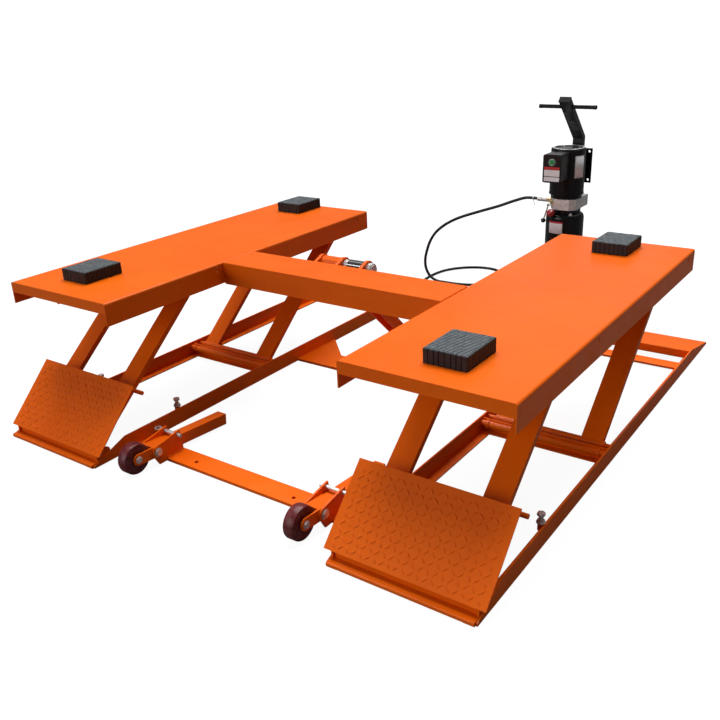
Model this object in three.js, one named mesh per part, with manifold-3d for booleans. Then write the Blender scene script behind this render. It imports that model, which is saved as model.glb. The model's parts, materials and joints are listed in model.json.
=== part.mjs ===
// A portable car lift: two platforms on parallel swinging legs, joined by a crossbeam, with a
// mobile power unit on a hose. Millimetres, X across the lift, Y from the approach flaps to the
// power unit, Z up. The lift stands raised. Along Y, places are measured from the front edge of
// the raised platforms, and the whole lift is then moved so that the origin is at the middle of
// the underside of the rear tie plate.

import * as THREE from "three";
import { mergeVertices } from "three/addons/utils/BufferGeometryUtils.js";
import Module from "manifold-3d";

const wasm = await Module();
wasm.setup();

// Fits shared by all pieces
const seatGap = 0.3;
const boreGap = 0.3;
const overrun = 6;

// Platforms and the pivots under them
const unitMiddle = 677.5;
const platform = {
  width: 480,
  length: 1396,
  sheet: 4,
  flange: 74,
  lip: 35,
  bend: 7,
  ribWidth: 6,
  ribDepth: 36,
};
const link = {
  length: 712,
  raised: THREE.MathUtils.degToRad(40.27),
  lowered: THREE.MathUtils.degToRad(3),
  height: 38,
  front: -58,
  spacing: 835,
  belowTop: 20.3,
  barWidth: 70,
  barThick: 18,
  eye: 12.5,
  innerInset: 42,
  outerInset: 36.5,
};
const shaft = { radius: 8, collar: 13, collarWidth: 6, recess: 1 };

// Base frames on the floor
const base = {
  width: 433.5,
  web: 57,
  thick: 5,
  flange: 36,
  front: -118,
  nose: 8,
  frontFull: 15,
  slopeLong: 236,
  rear: 1881,
  flangeBack: 31,
};
const stopBolt = {
  y: 257,
  inset: 14,
  shank: 6,
  head: 11,
  headHigh: 8,
  boss: 9.5,
  bossLow: 40,
  bossHigh: 62,
};
const toe = {
  front: -126,
  rear: -62,
  plate: 4,
  top: 13,
  lip: 5,
  lipLow: 3,
  round: 4,
  foot: 30,
  stiffener: 8,
  stiffenerFront: -94,
  stiffenerHigh: 26,
  lug: 6,
  lugRear: -40,
  lugRound: 11,
};
const crossMember = {
  thick: 5,
  rear: 742.3,
  leg: 27,
  high: 50,
  tube: 11,
  tubeHigh: 36,
  collar: 14,
  collarWidth: 10,
  collarInset: 20,
};
const ramp = {
  lipLow: 17,
  lipTop: 48,
  tailTop: 8,
  plate: 4,
  barAhead: 105,
  barLong: 60,
  barHigh: 8,
  rib: 5,
  ribBack: 21,
  ribs: 3,
};
const frontTie = { front: 40, rear: 118, thick: 10, hole: 7, holeX: 199, holeY: 72 };
const rearTie = { front: 900, rear: 1016, thick: 10, gussetRear: 1155, gussetInner: 324 };

// Approach flaps
const flap = {
  width: 462,
  length: 242,
  skirt: 8,
  thick: 3,
  hingeY: -92.6,
  hingeZ: 35.7,
  above: 12.5,
  raised: THREE.MathUtils.degToRad(45.7),
  bolt: 5,
  boltHead: 8,
  boltHeadHigh: 4,
  ear: 8.5,
  earThick: 5,
  lugRound: 8.7,
  rubBar: 7,
  rubAlong: 235,
  rubBelow: 26.4,
  rubBeyond: 8,
  rib: 5,
  ribFront: 60,
  ribInset: 14,
};

// Crossbeam, its ears and what hangs on their shaft
const beam = {
  front: 510,
  rear: 673,
  capDeep: 42.5,
  bodyFront: 516,
  bodyRear: 667,
  bodyLow: 439,
  wall: 5,
};
const ear = { thick: 12, boss: 30, low: 450, lefts: [-157, -67, 30] };
const beamShaft = {
  y: 715,
  z: 505,
  radius: 12,
  head: 18,
  headWide: 6,
  collar: 22.5,
  collarWide: 16,
  disc: 18,
  discWide: 4,
  spacer: 22,
  spacerWide: 18,
};
const strut = {
  reach: 652.3,
  angle: THREE.MathUtils.degToRad(-43.26),
  tube: 26,
  width: 54,
  depth: 44,
  wall: 6,
  pocketStart: 70,
  pocketEnd: 45,
};
const cylinder = {
  reach: 816.8,
  angle: THREE.MathUtils.degToRad(-34.27),
  tube: 25,
  rod: 18,
  rodInside: 86.2,
  piston: 29.5,
  pistonLong: 25,
  barrel: 35,
  barrelLong: 463,
  gland: 33,
  glandLong: 14,
  glandDeep: 40,
  floor: 45,
  eye: 24,
  eyeWide: 71,
  pin: 12,
  baseY: 1390,
  baseZ: 45,
};
const spine = {
  left: -150,
  right: 60,
  rear: 1600,
  thick: 8,
  lip: 12,
  lipThick: 6,
  rackLow: 22,
  rackTop: 33,
  rackFront: 1160,
  rackRear: 1570,
  toothFirst: 1172,
  toothPitch: 34,
  teeth: 5,
  cheek: 10,
  cheekRound: 22,
  cheekFoot: 26,
  tab: 6,
  tabHigh: 46,
  tabHalf: 26,
};
const bulkhead = { z: 25, radius: 9, hex: 15, hexLong: 9, before: 20, after: 12 };

// Transport wheels at the front tie plate
const transport = {
  middle: 331,
  wheel: 50,
  wheelWide: 36,
  hub: 15,
  tread: 34,
  recess: 3,
  round: 5,
  pivotY: 10,
  pivotZ: 45,
  axleAhead: 72,
  slope: THREE.MathUtils.degToRad(-4.1),
  tube: 38,
  tubeWall: 4,
  tubeStart: -16,
  tubeEnd: 317,
  tubeSolid: 24,
  fork: 6,
  forkRound: 19,
  forkEnd: 60,
  axle: 6,
  axleHead: 10,
  axleHeadWide: 5,
  cheekGap: 26,
  cheek: 6,
  cheekRound: 22,
  cheekLow: 2,
  cheekTopY: 104,
  cheekTopZ: 83,
  cheekRearY: 112,
  cheekRearZ: 27,
  pivotBolt: 8,
  pivotHead: 13,
  pivotHeadWide: 6,
  floorHigh: 5,
};
const lockPin = { y: 94, z: 70, radius: 6, beyond: 15, ring: 11, ringWire: 2.2 };

// Rubber lifting pads, loose on the platforms
const pad = {
  width: 122,
  depth: 150,
  high: 40,
  corner: 4,
  groove: 3,
  grooveWide: 5,
  grooves: 5,
};
const rearPad = { right: 120, left: 91 };
const padPlaces = {
  lifting_pad_front_right: [688, 166],
  lifting_pad_rear_right: [688, platform.length - rearPad.right],
  lifting_pad_front_left: [-715, 178],
  lifting_pad_rear_left: [-736, platform.length - rearPad.left],
};

// Power unit
const pump = { x: 138, y: 2190 };
const tank = {
  low: 192,
  shoulder: 388,
  top: 408,
  radius: 86,
  topRadius: 72,
  neck: 58,
  neckHigh: 430,
  capAcross: -25,
  capAhead: -72,
  capBoss: 12,
  capBossHigh: 12,
  cap: 16,
  capHigh: 18,
  capTilt: THREE.MathUtils.degToRad(35),
};
const block = { left: -56, right: 66, front: -64, high: 50, chamfer: 26 };
const motor = { radius: 77, top: 706, foot: 70, footHigh: 12, chamfer: 5, lid: 62, lidDeep: 3 };
const controlBox = {
  middle: -6,
  width: 86,
  front: -170,
  rear: -60,
  low: 573,
  high: 697,
  corner: 9,
};
const button = { radius: 11, high: 7, travel: 4, stem: 6, stemLong: 12, z: 664, ring: 15, ringHigh: 2 };
const mast = {
  wide: 50,
  deep: 24,
  y: 118,
  elbow: 736,
  topY: -76,
  topZ: 919,
  cap: 4,
  capBeyond: 1.5,
  plateThick: 5,
  plateRight: 69,
  plateLow: 530,
  plateHigh: 688,
  plateHole: 6,
  plateEdge: 14,
};
const handle = { radius: 8.5, half: 131, z: 887 };
const trolley = {
  foot: 8,
  footHalf: 110,
  footFront: -95,
  footRear: 160,
  wheel: 77,
  wheelWide: 32,
  tread: 52,
  hub: 22,
  axle: 10,
  axleY: 212,
  track: 150,
  bracket: 6,
  bracketHigh: 26,
  clear: 0.1,
};
const lever = {
  x: -66,
  y: -50,
  z: 447,
  stub: 4,
  stubLong: 14,
  eye: 8,
  eyeWide: 6,
  arm: 3.5,
  knob: 11,
  knobX: -86,
  knobZ: 372,
};
const fitting = { y: -20, z: 466, hex: 13, hexLong: 24, ferrule: 9.5, ferruleEnd: -130 };

// The hose lies free from the fitting to the bulkhead, by hand-chosen points
const hose = { radius: 7, sides: 8, steps: 64 };
const hosePoints = [
  [-52, 2169, 464],
  [-110, 2166, 445],
  [-190, 2161, 413],
  [-286, 2152, 380],
  [-380, 2142, 346],
  [-432, 2131, 322],
  [-480, 2122, 291],
  [-518, 2113, 255],
  [-545, 2106, 210],
  [-561, 2100, 160],
  [-569, 2095, 110],
  [-562, 2092, 66],
  [-537, 2090, 29],
  [-497, 2089, 10],
  [-440, 2089, 8],
  [-365, 2094, 8],
  [-290, 2122, 8],
  [-240, 2190, 8],
  [-228, 2285, 8],
  [-262, 2368, 8],
  [-326, 2409, 8],
  [-392, 2413, 8],
  [-458, 2387, 8],
  [-516, 2336, 8],
  [-553, 2270, 8],
  [-567, 2195, 8],
  [-566, 2110, 8],
  [-550, 2030, 8],
  [-505, 1960, 8],
  [-430, 1890, 8],
  [-330, 1825, 8],
  [-220, 1780, 8],
  [-125, 1757, 8],
  [-70, 1739, 10],
  [-32, 1709, 15],
  [-8.2, 1669.5, 22.4],
];

// Counts of facets
const round = { large: 20, wheel: 18, medium: 12, small: 10, fine: 8, hex: 6 };

const X = new THREE.Vector3(1, 0, 0);
const Y = new THREE.Vector3(0, 1, 0);
const Z = new THREE.Vector3(0, 0, 1);

function toSolid(geometry) {
  const bare = geometry.clone();
  bare.deleteAttribute("normal");
  bare.deleteAttribute("uv");
  const merged = mergeVertices(bare);
  return new wasm.Manifold(
    new wasm.Mesh({
      numProp: 3,
      vertProperties: merged.attributes.position.array,
      triVerts: new Uint32Array(merged.index.array),
    }),
  );
}

function toGeometry(solid) {
  const mesh = solid.getMesh();
  const geometry = new THREE.BufferGeometry();
  geometry.setAttribute("position", new THREE.BufferAttribute(mesh.vertProperties, 3));
  geometry.setIndex(new THREE.BufferAttribute(mesh.triVerts, 1));
  geometry.computeVertexNormals();
  return geometry;
}

const join = (...solids) => solids.flat().reduce((all, next) => all.add(next));
const cut = (solid, ...tools) => tools.flat().reduce((all, next) => all.subtract(next), solid);
const span = (a, b) => [Math.min(a, b), Math.max(a, b)];
const around = (middle, width) => [middle - width / 2, middle + width / 2];

function slab(x, y, z) {
  const geometry = new THREE.BoxGeometry(x[1] - x[0], y[1] - y[0], z[1] - z[0]);
  geometry.translate((x[0] + x[1]) / 2, (y[0] + y[1]) / 2, (z[0] + z[1]) / 2);
  return toSolid(geometry);
}

function outline(points) {
  return new THREE.Shape(points.map(([a, b]) => new THREE.Vector2(a, b)));
}

// A flat outline in Y and Z, made thick along X
function plateX(shape, x, curveSegments = round.small / 3) {
  const geometry = new THREE.ExtrudeGeometry(shape, {
    depth: x[1] - x[0],
    bevelEnabled: false,
    curveSegments,
  });
  geometry.applyMatrix4(new THREE.Matrix4().makeBasis(Y, Z, X));
  geometry.translate(x[0], 0, 0);
  return toSolid(geometry);
}

// A flat outline in X and Z, made thick along Y
function plateY(shape, y, curveSegments = round.small / 2) {
  const geometry = new THREE.ExtrudeGeometry(shape, {
    depth: y[1] - y[0],
    bevelEnabled: false,
    curveSegments,
  });
  geometry.applyMatrix4(new THREE.Matrix4().makeBasis(X, Z, Y.clone().negate()));
  geometry.translate(0, y[1], 0);
  return toSolid(geometry);
}

// A flat outline in X and Y, made thick along Z
function plateZ(shape, z, curveSegments = round.small / 2) {
  const geometry = new THREE.ExtrudeGeometry(shape, {
    depth: z[1] - z[0],
    bevelEnabled: false,
    curveSegments,
  });
  geometry.translate(0, 0, z[0]);
  return toSolid(geometry);
}

function rodX(radius, x, y, z, sides = round.small) {
  const geometry = new THREE.CylinderGeometry(radius, radius, x[1] - x[0], sides);
  geometry.rotateZ(Math.PI / 2);
  geometry.translate((x[0] + x[1]) / 2, y, z);
  return toSolid(geometry);
}

function rodY(radius, x, y, z, sides = round.small) {
  const geometry = new THREE.CylinderGeometry(radius, radius, y[1] - y[0], sides);
  geometry.translate(x, (y[0] + y[1]) / 2, z);
  return toSolid(geometry);
}

function rodZ(radius, x, y, z, sides = round.small) {
  const geometry = new THREE.CylinderGeometry(radius, radius, z[1] - z[0], sides);
  geometry.rotateX(Math.PI / 2);
  geometry.translate(x, y, (z[0] + z[1]) / 2);
  return toSolid(geometry);
}

// The radius of a bore whose facets all clear its pin by the running gap
const boreRadius = (radius, sides = round.small) => (radius + boreGap) / Math.cos(Math.PI / sides);

// A bore through a piece, longer than the piece
function boreX(radius, x, y, z, sides = round.small) {
  return rodX(boreRadius(radius, sides), [x[0] - overrun, x[1] + overrun], y, z, sides);
}

// A round rod between any two points
function rodBetween(radius, from, to, sides = round.small) {
  const start = new THREE.Vector3(...from);
  const along = new THREE.Vector3(...to).sub(start);
  const geometry = new THREE.CylinderGeometry(radius, radius, along.length(), sides);
  geometry.translate(0, along.length() / 2, 0);
  geometry.applyQuaternion(new THREE.Quaternion().setFromUnitVectors(Y, along.clone().normalize()));
  geometry.translate(...from);
  return toSolid(geometry);
}

// A turned piece with its profile in radius and height, on a vertical axis
function turned(profile, sides = round.medium) {
  const points = profile.map(([radius, height]) => new THREE.Vector2(radius, height));
  const geometry = new THREE.LatheGeometry(points, sides);
  geometry.rotateX(Math.PI / 2);
  return toSolid(geometry);
}

// A turned piece with its axis along X
function turnedX(profile, sides = round.medium) {
  const points = profile.map(([radius, along]) => new THREE.Vector2(radius, along));
  const geometry = new THREE.LatheGeometry(points, sides);
  geometry.rotateZ(-Math.PI / 2);
  return toSolid(geometry);
}

const paint = {
  orange: { color: "#f07a10", roughness: 0.42, metalness: 0 },
  steel: { color: "#b9bcc0", roughness: 0.35, metalness: 0.9 },
  chrome: { color: "#d9dcdf", roughness: 0.15, metalness: 1 },
  black: { color: "#141414", roughness: 0.45, metalness: 0 },
  rubber: { color: "#2c2d30", roughness: 0.85, metalness: 0 },
  maroon: { color: "#5e141b", roughness: 0.45, metalness: 0 },
  aluminium: { color: "#c9cbcc", roughness: 0.4, metalness: 0.9 },
  brass: { color: "#b98f4a", roughness: 0.4, metalness: 0.9 },
  red: { color: "#b3131a", roughness: 0.4, metalness: 0 },
  green: { color: "#16924c", roughness: 0.35, metalness: 0 },
};

function piece(name, solid, finish, parent) {
  const mesh = new THREE.Mesh(toGeometry(solid), new THREE.MeshStandardMaterial(paint[finish]));
  mesh.name = name;
  parent.add(mesh);
  return mesh;
}

// Places worked out from the driving sizes
const inner = { web: unitMiddle - base.width / 2, flange: unitMiddle - platform.width / 2 };
const outer = { web: unitMiddle + base.width / 2, flange: unitMiddle + platform.width / 2 };
const between = [inner.web + base.thick + seatGap, outer.web - base.thick - seatGap];
const swing = {
  rise: link.length * Math.sin(link.raised),
  run: link.length * Math.cos(link.raised),
};
const deckTop = link.height + swing.rise + link.belowTop;
const deckLowered = link.height + link.length * Math.sin(link.lowered) + link.belowTop;
const rearPivot = link.front + link.spacing;
const legBars = [
  [inner.web + link.innerInset, inner.web + link.innerInset + link.barWidth],
  [outer.web - link.outerInset - link.barWidth, outer.web - link.outerInset],
];
const legSpan = [legBars[0][0], legBars[1][1]];

// Folded platform with its lips and the flat bar down its middle
function platformSolid() {
  const half = platform.width / 2;
  const low = deckTop - platform.flange;
  const section = new THREE.Shape();
  section.moveTo(unitMiddle - half, low);
  section.lineTo(unitMiddle - half + platform.sheet, low);
  section.lineTo(unitMiddle - half + platform.sheet, deckTop - platform.sheet);
  section.lineTo(unitMiddle + half - platform.sheet, deckTop - platform.sheet);
  section.lineTo(unitMiddle + half - platform.sheet, low);
  section.lineTo(unitMiddle + half, low);
  section.absarc(
    unitMiddle + half - platform.bend,
    deckTop - platform.bend,
    platform.bend,
    0,
    Math.PI / 2,
  );
  section.absarc(
    unitMiddle - half + platform.bend,
    deckTop - platform.bend,
    platform.bend,
    Math.PI / 2,
    Math.PI,
  );
  const sheet = plateY(section, [0, platform.length], 3);
  const sunk = platform.sheet / 4;
  const inset = platform.sheet - sunk;
  const clear = [unitMiddle - half + inset, unitMiddle + half - inset];
  const lipHeight = [deckTop - platform.lip, deckTop - inset];
  const ribHeight = [deckTop - platform.sheet - platform.ribDepth, deckTop - inset];
  const holes = [link.front, rearPivot].map((y) =>
    boreX(shaft.radius, [inner.flange, outer.flange], y + swing.run, link.height + swing.rise),
  );
  return cut(
    join(
      sheet,
      slab(clear, [0, platform.sheet], lipHeight),
      slab(clear, [platform.length - platform.sheet, platform.length], lipHeight),
      slab(
        around(unitMiddle, platform.ribWidth),
        [inset, platform.length - inset],
        ribHeight,
      ),
    ),
    holes,
  );
}

// Two flat bars on one round tube, in the frame of the lower pivot
function legSolid() {
  const bars = legBars.map((x) =>
    join(
      slab(x, [0, link.length], around(0, link.barThick)),
      rodX(link.eye, x, link.length, 0, round.medium),
    ),
  );
  return cut(
    join(bars, rodX(link.eye, legSpan, 0, 0, round.medium)),
    boreX(shaft.radius, legSpan, 0, 0),
    boreX(shaft.radius, legSpan, link.length, 0),
  );
}

// A shaft with a set collar at each end of the legs
function shaftSolid(ends, y, z) {
  const left = legSpan[0] - seatGap;
  const right = legSpan[1] + seatGap;
  return turnedX(
    [
      [0, ends[0]],
      [shaft.radius, ends[0]],
      [shaft.radius, left - shaft.collarWidth],
      [shaft.collar, left - shaft.collarWidth],
      [shaft.collar, left],
      [shaft.radius, left],
      [shaft.radius, right],
      [shaft.collar, right],
      [shaft.collar, right + shaft.collarWidth],
      [shaft.radius, right + shaft.collarWidth],
      [shaft.radius, ends[1]],
      [0, ends[1]],
    ],
    round.small,
  ).translate(0, y, z);
}

// Angle rail with its stop bolt, on the outer side for side 1 and on the inner side for -1
function railSolid(side) {
  const at = (inset) => unitMiddle + side * (base.width / 2 - inset);
  const web = plateX(
    outline([
      [base.front, 0],
      [base.rear, 0],
      [base.rear, base.nose],
      [base.rear - base.slopeLong, base.web],
      [base.frontFull, base.web],
      [base.front, base.nose],
    ]),
    span(at(0), at(base.thick)),
  );
  const flange = slab(
    span(at(0), at(base.flange)),
    [toe.rear + seatGap, base.rear - base.flangeBack],
    [0, base.thick],
  );
  const headTop = deckLowered - platform.sheet - seatGap;
  const headLow = headTop - stopBolt.headHigh;
  const x = at(stopBolt.inset);
  const y = stopBolt.y;
  const nutLow = stopBolt.bossHigh - seatGap;
  const nutTop = stopBolt.bossHigh + stopBolt.headHigh;
  const shankLow = stopBolt.bossLow - stopBolt.headHigh;
  const bolt = join(
    rodZ(stopBolt.boss, x, y, [stopBolt.bossLow, stopBolt.bossHigh], round.fine),
    rodZ(stopBolt.shank, x, y, [shankLow, headLow + seatGap], round.fine),
    rodZ(stopBolt.head, x, y, [nutLow, nutTop], round.hex),
    rodZ(stopBolt.head, x, y, [headLow, headTop], round.hex),
  );
  return cut(
    join(web, flange, bolt),
    boreX(shaft.radius, span(at(0), at(base.thick)), rearPivot, link.height),
  );
}

// Toe under the flap's hinge, with its feet, lugs and hinge bolts
function toeSolid() {
  const profile = new THREE.Shape();
  profile.moveTo(toe.front, toe.lipLow);
  profile.lineTo(toe.front + toe.lip, toe.lipLow);
  profile.lineTo(toe.front + toe.lip, toe.top - toe.plate);
  profile.lineTo(toe.rear, toe.top - toe.plate);
  profile.lineTo(toe.rear, toe.top);
  profile.absarc(toe.front + toe.round, toe.top - toe.round, toe.round, Math.PI / 2, Math.PI);
  const lug = new THREE.Shape();
  lug.moveTo(toe.rear, toe.top - toe.plate);
  lug.lineTo(toe.rear, base.thick + seatGap);
  lug.lineTo(toe.lugRear, base.thick + seatGap);
  lug.absarc(link.front, link.height, toe.lugRound, -Math.PI / 6, Math.PI / 2);
  lug.absarc(flap.hingeY, flap.hingeZ, flap.lugRound, Math.PI / 2, Math.PI);
  lug.lineTo(flap.hingeY - flap.lugRound, toe.top - toe.plate);
  const ends = [
    { lug: [between[0], between[0] + toe.lug], foot: [between[0], between[0] + toe.foot], out: -1 },
    { lug: [between[1] - toe.lug, between[1]], foot: [between[1] - toe.foot, between[1]], out: 1 },
  ];
  const parts = ends.map((end) => {
    const outside = end.out < 0 ? end.lug[0] : end.lug[1];
    const inside = end.out < 0 ? end.lug[1] : end.lug[0];
    const stubEnd = inside - end.out * (flap.earThick + 2 * seatGap + flap.boltHeadHigh / 2);
    return join(
      plateX(lug, end.lug),
      slab(end.foot, [toe.front + toe.lip / 2, toe.rear], [0, toe.top - toe.plate / 2]),
      rodX(flap.bolt, span(outside, stubEnd), flap.hingeY, flap.hingeZ),
      rodX(
        flap.boltHead,
        span(outside - end.out * seatGap, outside + end.out * flap.boltHeadHigh),
        flap.hingeY,
        flap.hingeZ,
        round.hex,
      ),
    );
  });
  return cut(
    join(
      plateX(profile, between),
      slab(
        between,
        [toe.stiffenerFront, toe.stiffenerFront + toe.stiffener],
        [0, toe.stiffenerHigh],
      ),
      parts,
    ),
    boreX(shaft.radius, between, link.front, link.height),
  );
}

// Angle and round tube across the base, before the rear legs
function crossMemberSolid() {
  const floor = base.thick + seatGap;
  const webFront = crossMember.rear - crossMember.thick;
  const legFront = crossMember.rear - crossMember.leg;
  const tubeY = webFront - crossMember.tube + crossMember.thick / 4;
  const collars = [
    [between[0] + crossMember.collarInset, between[0] + crossMember.collarInset + crossMember.collarWidth],
    [between[1] - crossMember.collarInset - crossMember.collarWidth, between[1] - crossMember.collarInset],
  ];
  return join(
    slab(between, [webFront, crossMember.rear], [floor, crossMember.high]),
    slab(between, [legFront, crossMember.rear], [floor, floor + crossMember.thick]),
    rodX(crossMember.tube, between, tubeY, crossMember.tubeHigh),
    collars.map((x) => rodX(crossMember.collar, x, tubeY, crossMember.tubeHigh)),
  );
}

// Sloping plate behind the rails, on ribs and a floor bar
function rampSolid() {
  const floor = base.thick + seatGap;
  const front = base.rear - base.slopeLong;
  const slope = (ramp.lipTop - ramp.tailTop) / base.slopeLong;
  const topAt = (y) => ramp.lipTop - slope * (y - front);
  const barFront = front - ramp.barAhead;
  const ribRear = base.rear - ramp.ribBack;
  const plate = plateX(
    outline([
      [front, ramp.lipLow],
      [front + ramp.plate, ramp.lipLow],
      [front + ramp.plate, topAt(front + ramp.plate) - ramp.plate],
      [base.rear, ramp.tailTop - ramp.plate],
      [base.rear, ramp.tailTop],
      [front, ramp.lipTop],
    ]),
    between,
  );
  const bar = slab(between, [barFront, barFront + ramp.barLong], [floor, floor + ramp.barHigh]);
  const ribShape = outline([
    [barFront, floor],
    [ribRear, floor],
    [ribRear, topAt(ribRear) - ramp.plate / 2],
    [front + ramp.plate / 2, topAt(front) - ramp.plate],
    [front + ramp.plate / 2, floor + ramp.barHigh],
    [barFront, floor + ramp.barHigh],
  ]);
  const step = (between[1] - between[0] - ramp.rib) / (ramp.ribs - 1);
  const ribs = Array.from({ length: ramp.ribs }, (_, i) =>
    plateX(ribShape, [between[0] + i * step, between[0] + i * step + ramp.rib]),
  );
  return join(plate, bar, ribs);
}

// Chequer plate on ribs with its rub bar, in the frame of its hinge
function flapSolid() {
  const width = around(unitMiddle, flap.width);
  const under = flap.above - flap.thick;
  const plate = slab(width, [-flap.skirt, flap.length], [under, flap.above]);
  const ears = [
    [between[0] + toe.lug + seatGap, between[0] + toe.lug + seatGap + flap.earThick],
    [between[1] - toe.lug - seatGap - flap.earThick, between[1] - toe.lug - seatGap],
  ];
  const earSolids = ears.map((x) =>
    join(
      rodX(flap.ear, x, 0, 0),
      slab(x, around(0, 2 * flap.ear), [0, under + flap.thick / 2]),
    ),
  );
  const ribShape = outline([
    [flap.ribFront, under + flap.thick / 2],
    [flap.rubAlong - flap.rubBar, -flap.rubBelow],
    [flap.rubAlong + flap.rubBar / 2, -flap.rubBelow],
    [flap.rubAlong + flap.rubBar / 2, under + flap.thick / 2],
  ]);
  const ribs = [
    between[0] + flap.ribInset,
    unitMiddle - flap.rib / 2,
    between[1] - flap.ribInset - flap.rib,
  ].map((x) => plateX(ribShape, [x, x + flap.rib]));
  const rubBar = rodX(
    flap.rubBar,
    [width[0] - flap.rubBeyond, width[1] + flap.rubBeyond],
    flap.rubAlong,
    -flap.rubBelow,
  );
  return cut(
    join(plate, earSolids, ribs, rubBar),
    ears.map((x) => boreX(flap.bolt, x, 0, 0)),
  );
}

// Boxed beam between the platforms, with the three ears on its back
function crossbeamSolid() {
  const half = inner.flange - seatGap;
  const capLow = deckTop - beam.capDeep;
  const shell = (inset) => [
    [beam.front + inset, deckTop - inset],
    [beam.front + inset, capLow + inset],
    [beam.bodyFront + inset, capLow + inset],
    [beam.bodyFront + inset, beam.bodyLow + inset],
    [beam.bodyRear - inset, beam.bodyLow + inset],
    [beam.bodyRear - inset, capLow + inset],
    [beam.rear - inset, capLow + inset],
    [beam.rear - inset, deckTop - inset],
  ];
  const tube = cut(
    plateX(outline(shell(0).reverse()), [-half, half]),
    plateX(outline(shell(beam.wall).reverse()), [-half - overrun, half + overrun]),
  );
  const earShape = new THREE.Shape();
  earShape.moveTo(beam.bodyRear - beam.wall / 2, ear.low);
  earShape.absarc(beamShaft.y, beamShaft.z, ear.boss, -Math.PI / 2, Math.PI * 0.62);
  earShape.lineTo(beam.bodyRear - beam.wall / 2, deckTop - beam.wall / 2);
  const ears = ear.lefts.map((left) => plateX(earShape, [left, left + ear.thick]));
  const across = [ear.lefts[0], ear.lefts[2] + ear.thick];
  return cut(join(tube, ears), boreX(beamShaft.radius, across, beamShaft.y, beamShaft.z));
}

const earGaps = {
  strut: [ear.lefts[0] + ear.thick + seatGap, ear.lefts[1] - seatGap],
  spacer: [
    ear.lefts[1] + ear.thick + seatGap,
    ear.lefts[1] + ear.thick + seatGap + beamShaft.spacerWide,
  ],
};
earGaps.cylinder = [earGaps.spacer[1] + seatGap, ear.lefts[2] - seatGap];
const strutMiddle = (earGaps.strut[0] + earGaps.strut[1]) / 2;
const cylinderMiddle = (earGaps.cylinder[0] + earGaps.cylinder[1]) / 2;

function beamShaftSolid() {
  const left = ear.lefts[0] - seatGap;
  const right = ear.lefts[2] + ear.thick + seatGap;
  const discFace = right + beamShaft.collarWide;
  return turnedX(
    [
      [0, left - beamShaft.headWide],
      [beamShaft.head, left - beamShaft.headWide],
      [beamShaft.head, left],
      [beamShaft.radius, left],
      [beamShaft.radius, earGaps.spacer[0]],
      [beamShaft.spacer, earGaps.spacer[0]],
      [beamShaft.spacer, earGaps.spacer[1]],
      [beamShaft.radius, earGaps.spacer[1]],
      [beamShaft.radius, right],
      [beamShaft.collar, right],
      [beamShaft.collar, discFace],
      [beamShaft.disc, discFace],
      [beamShaft.disc, discFace + beamShaft.discWide],
      [0, discFace + beamShaft.discWide],
    ],
    round.medium,
  ).translate(0, beamShaft.y, beamShaft.z);
}

// Channel strut with its cross tube and rounded foot, in the frame of the beam's shaft
function strutSolid() {
  const half = strut.depth / 2;
  const x = around(strutMiddle, strut.width);
  const body = new THREE.Shape();
  body.moveTo(0, -half);
  body.lineTo(strut.reach, -half);
  body.absarc(strut.reach, 0, half, -Math.PI / 2, Math.PI / 2);
  body.lineTo(0, half);
  const pocket = slab(
    [x[0] + strut.wall, x[1] - strut.wall],
    [strut.pocketStart, strut.reach - strut.pocketEnd],
    [-half - overrun, half - strut.wall],
  );
  return cut(
    join(plateX(body, x), rodX(strut.tube, earGaps.strut, 0, 0, round.medium)),
    pocket,
    boreX(beamShaft.radius, earGaps.strut, 0, 0),
  );
}

// Rod with its eye and piston, in the frame of the beam's shaft
function rodSolid() {
  const m = cylinderMiddle;
  const rodEnd = cylinder.reach - cylinder.barrelLong + cylinder.rodInside;
  return cut(
    join(
      rodX(cylinder.tube, earGaps.cylinder, 0, 0, round.medium),
      rodY(cylinder.rod, m, [cylinder.tube / 2, rodEnd], 0, round.medium),
      rodY(cylinder.piston, m, [rodEnd - cylinder.pistonLong, rodEnd], 0, round.medium),
    ),
    boreX(beamShaft.radius, earGaps.cylinder, 0, 0),
  );
}

// Barrel with its gland and base eye, in the frame of the beam's shaft
function barrelSolid() {
  const m = cylinderMiddle;
  const mouth = cylinder.reach - cylinder.barrelLong;
  const bottom = cylinder.reach - cylinder.floor;
  const eyeX = around(m, cylinder.eyeWide);
  return cut(
    join(
      rodY(cylinder.gland, m, [mouth, mouth + cylinder.glandLong], 0, round.medium),
      rodY(
        cylinder.barrel,
        m,
        [mouth + cylinder.glandLong - seatGap, cylinder.reach - cylinder.floor + overrun],
        0,
        round.medium,
      ),
      slab(eyeX, [bottom, cylinder.reach], around(0, 2 * cylinder.eye)),
      rodX(cylinder.eye, eyeX, cylinder.reach, 0, round.medium),
    ),
    rodY(
      boreRadius(cylinder.rod, round.medium),
      m,
      [mouth - overrun, mouth + cylinder.glandDeep + overrun],
      0,
      round.medium,
    ),
    rodY(
      boreRadius(cylinder.piston, round.medium),
      m,
      [mouth + cylinder.glandDeep, bottom],
      0,
      round.medium,
    ),
    boreX(cylinder.pin, eyeX, cylinder.reach, 0),
  );
}

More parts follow.
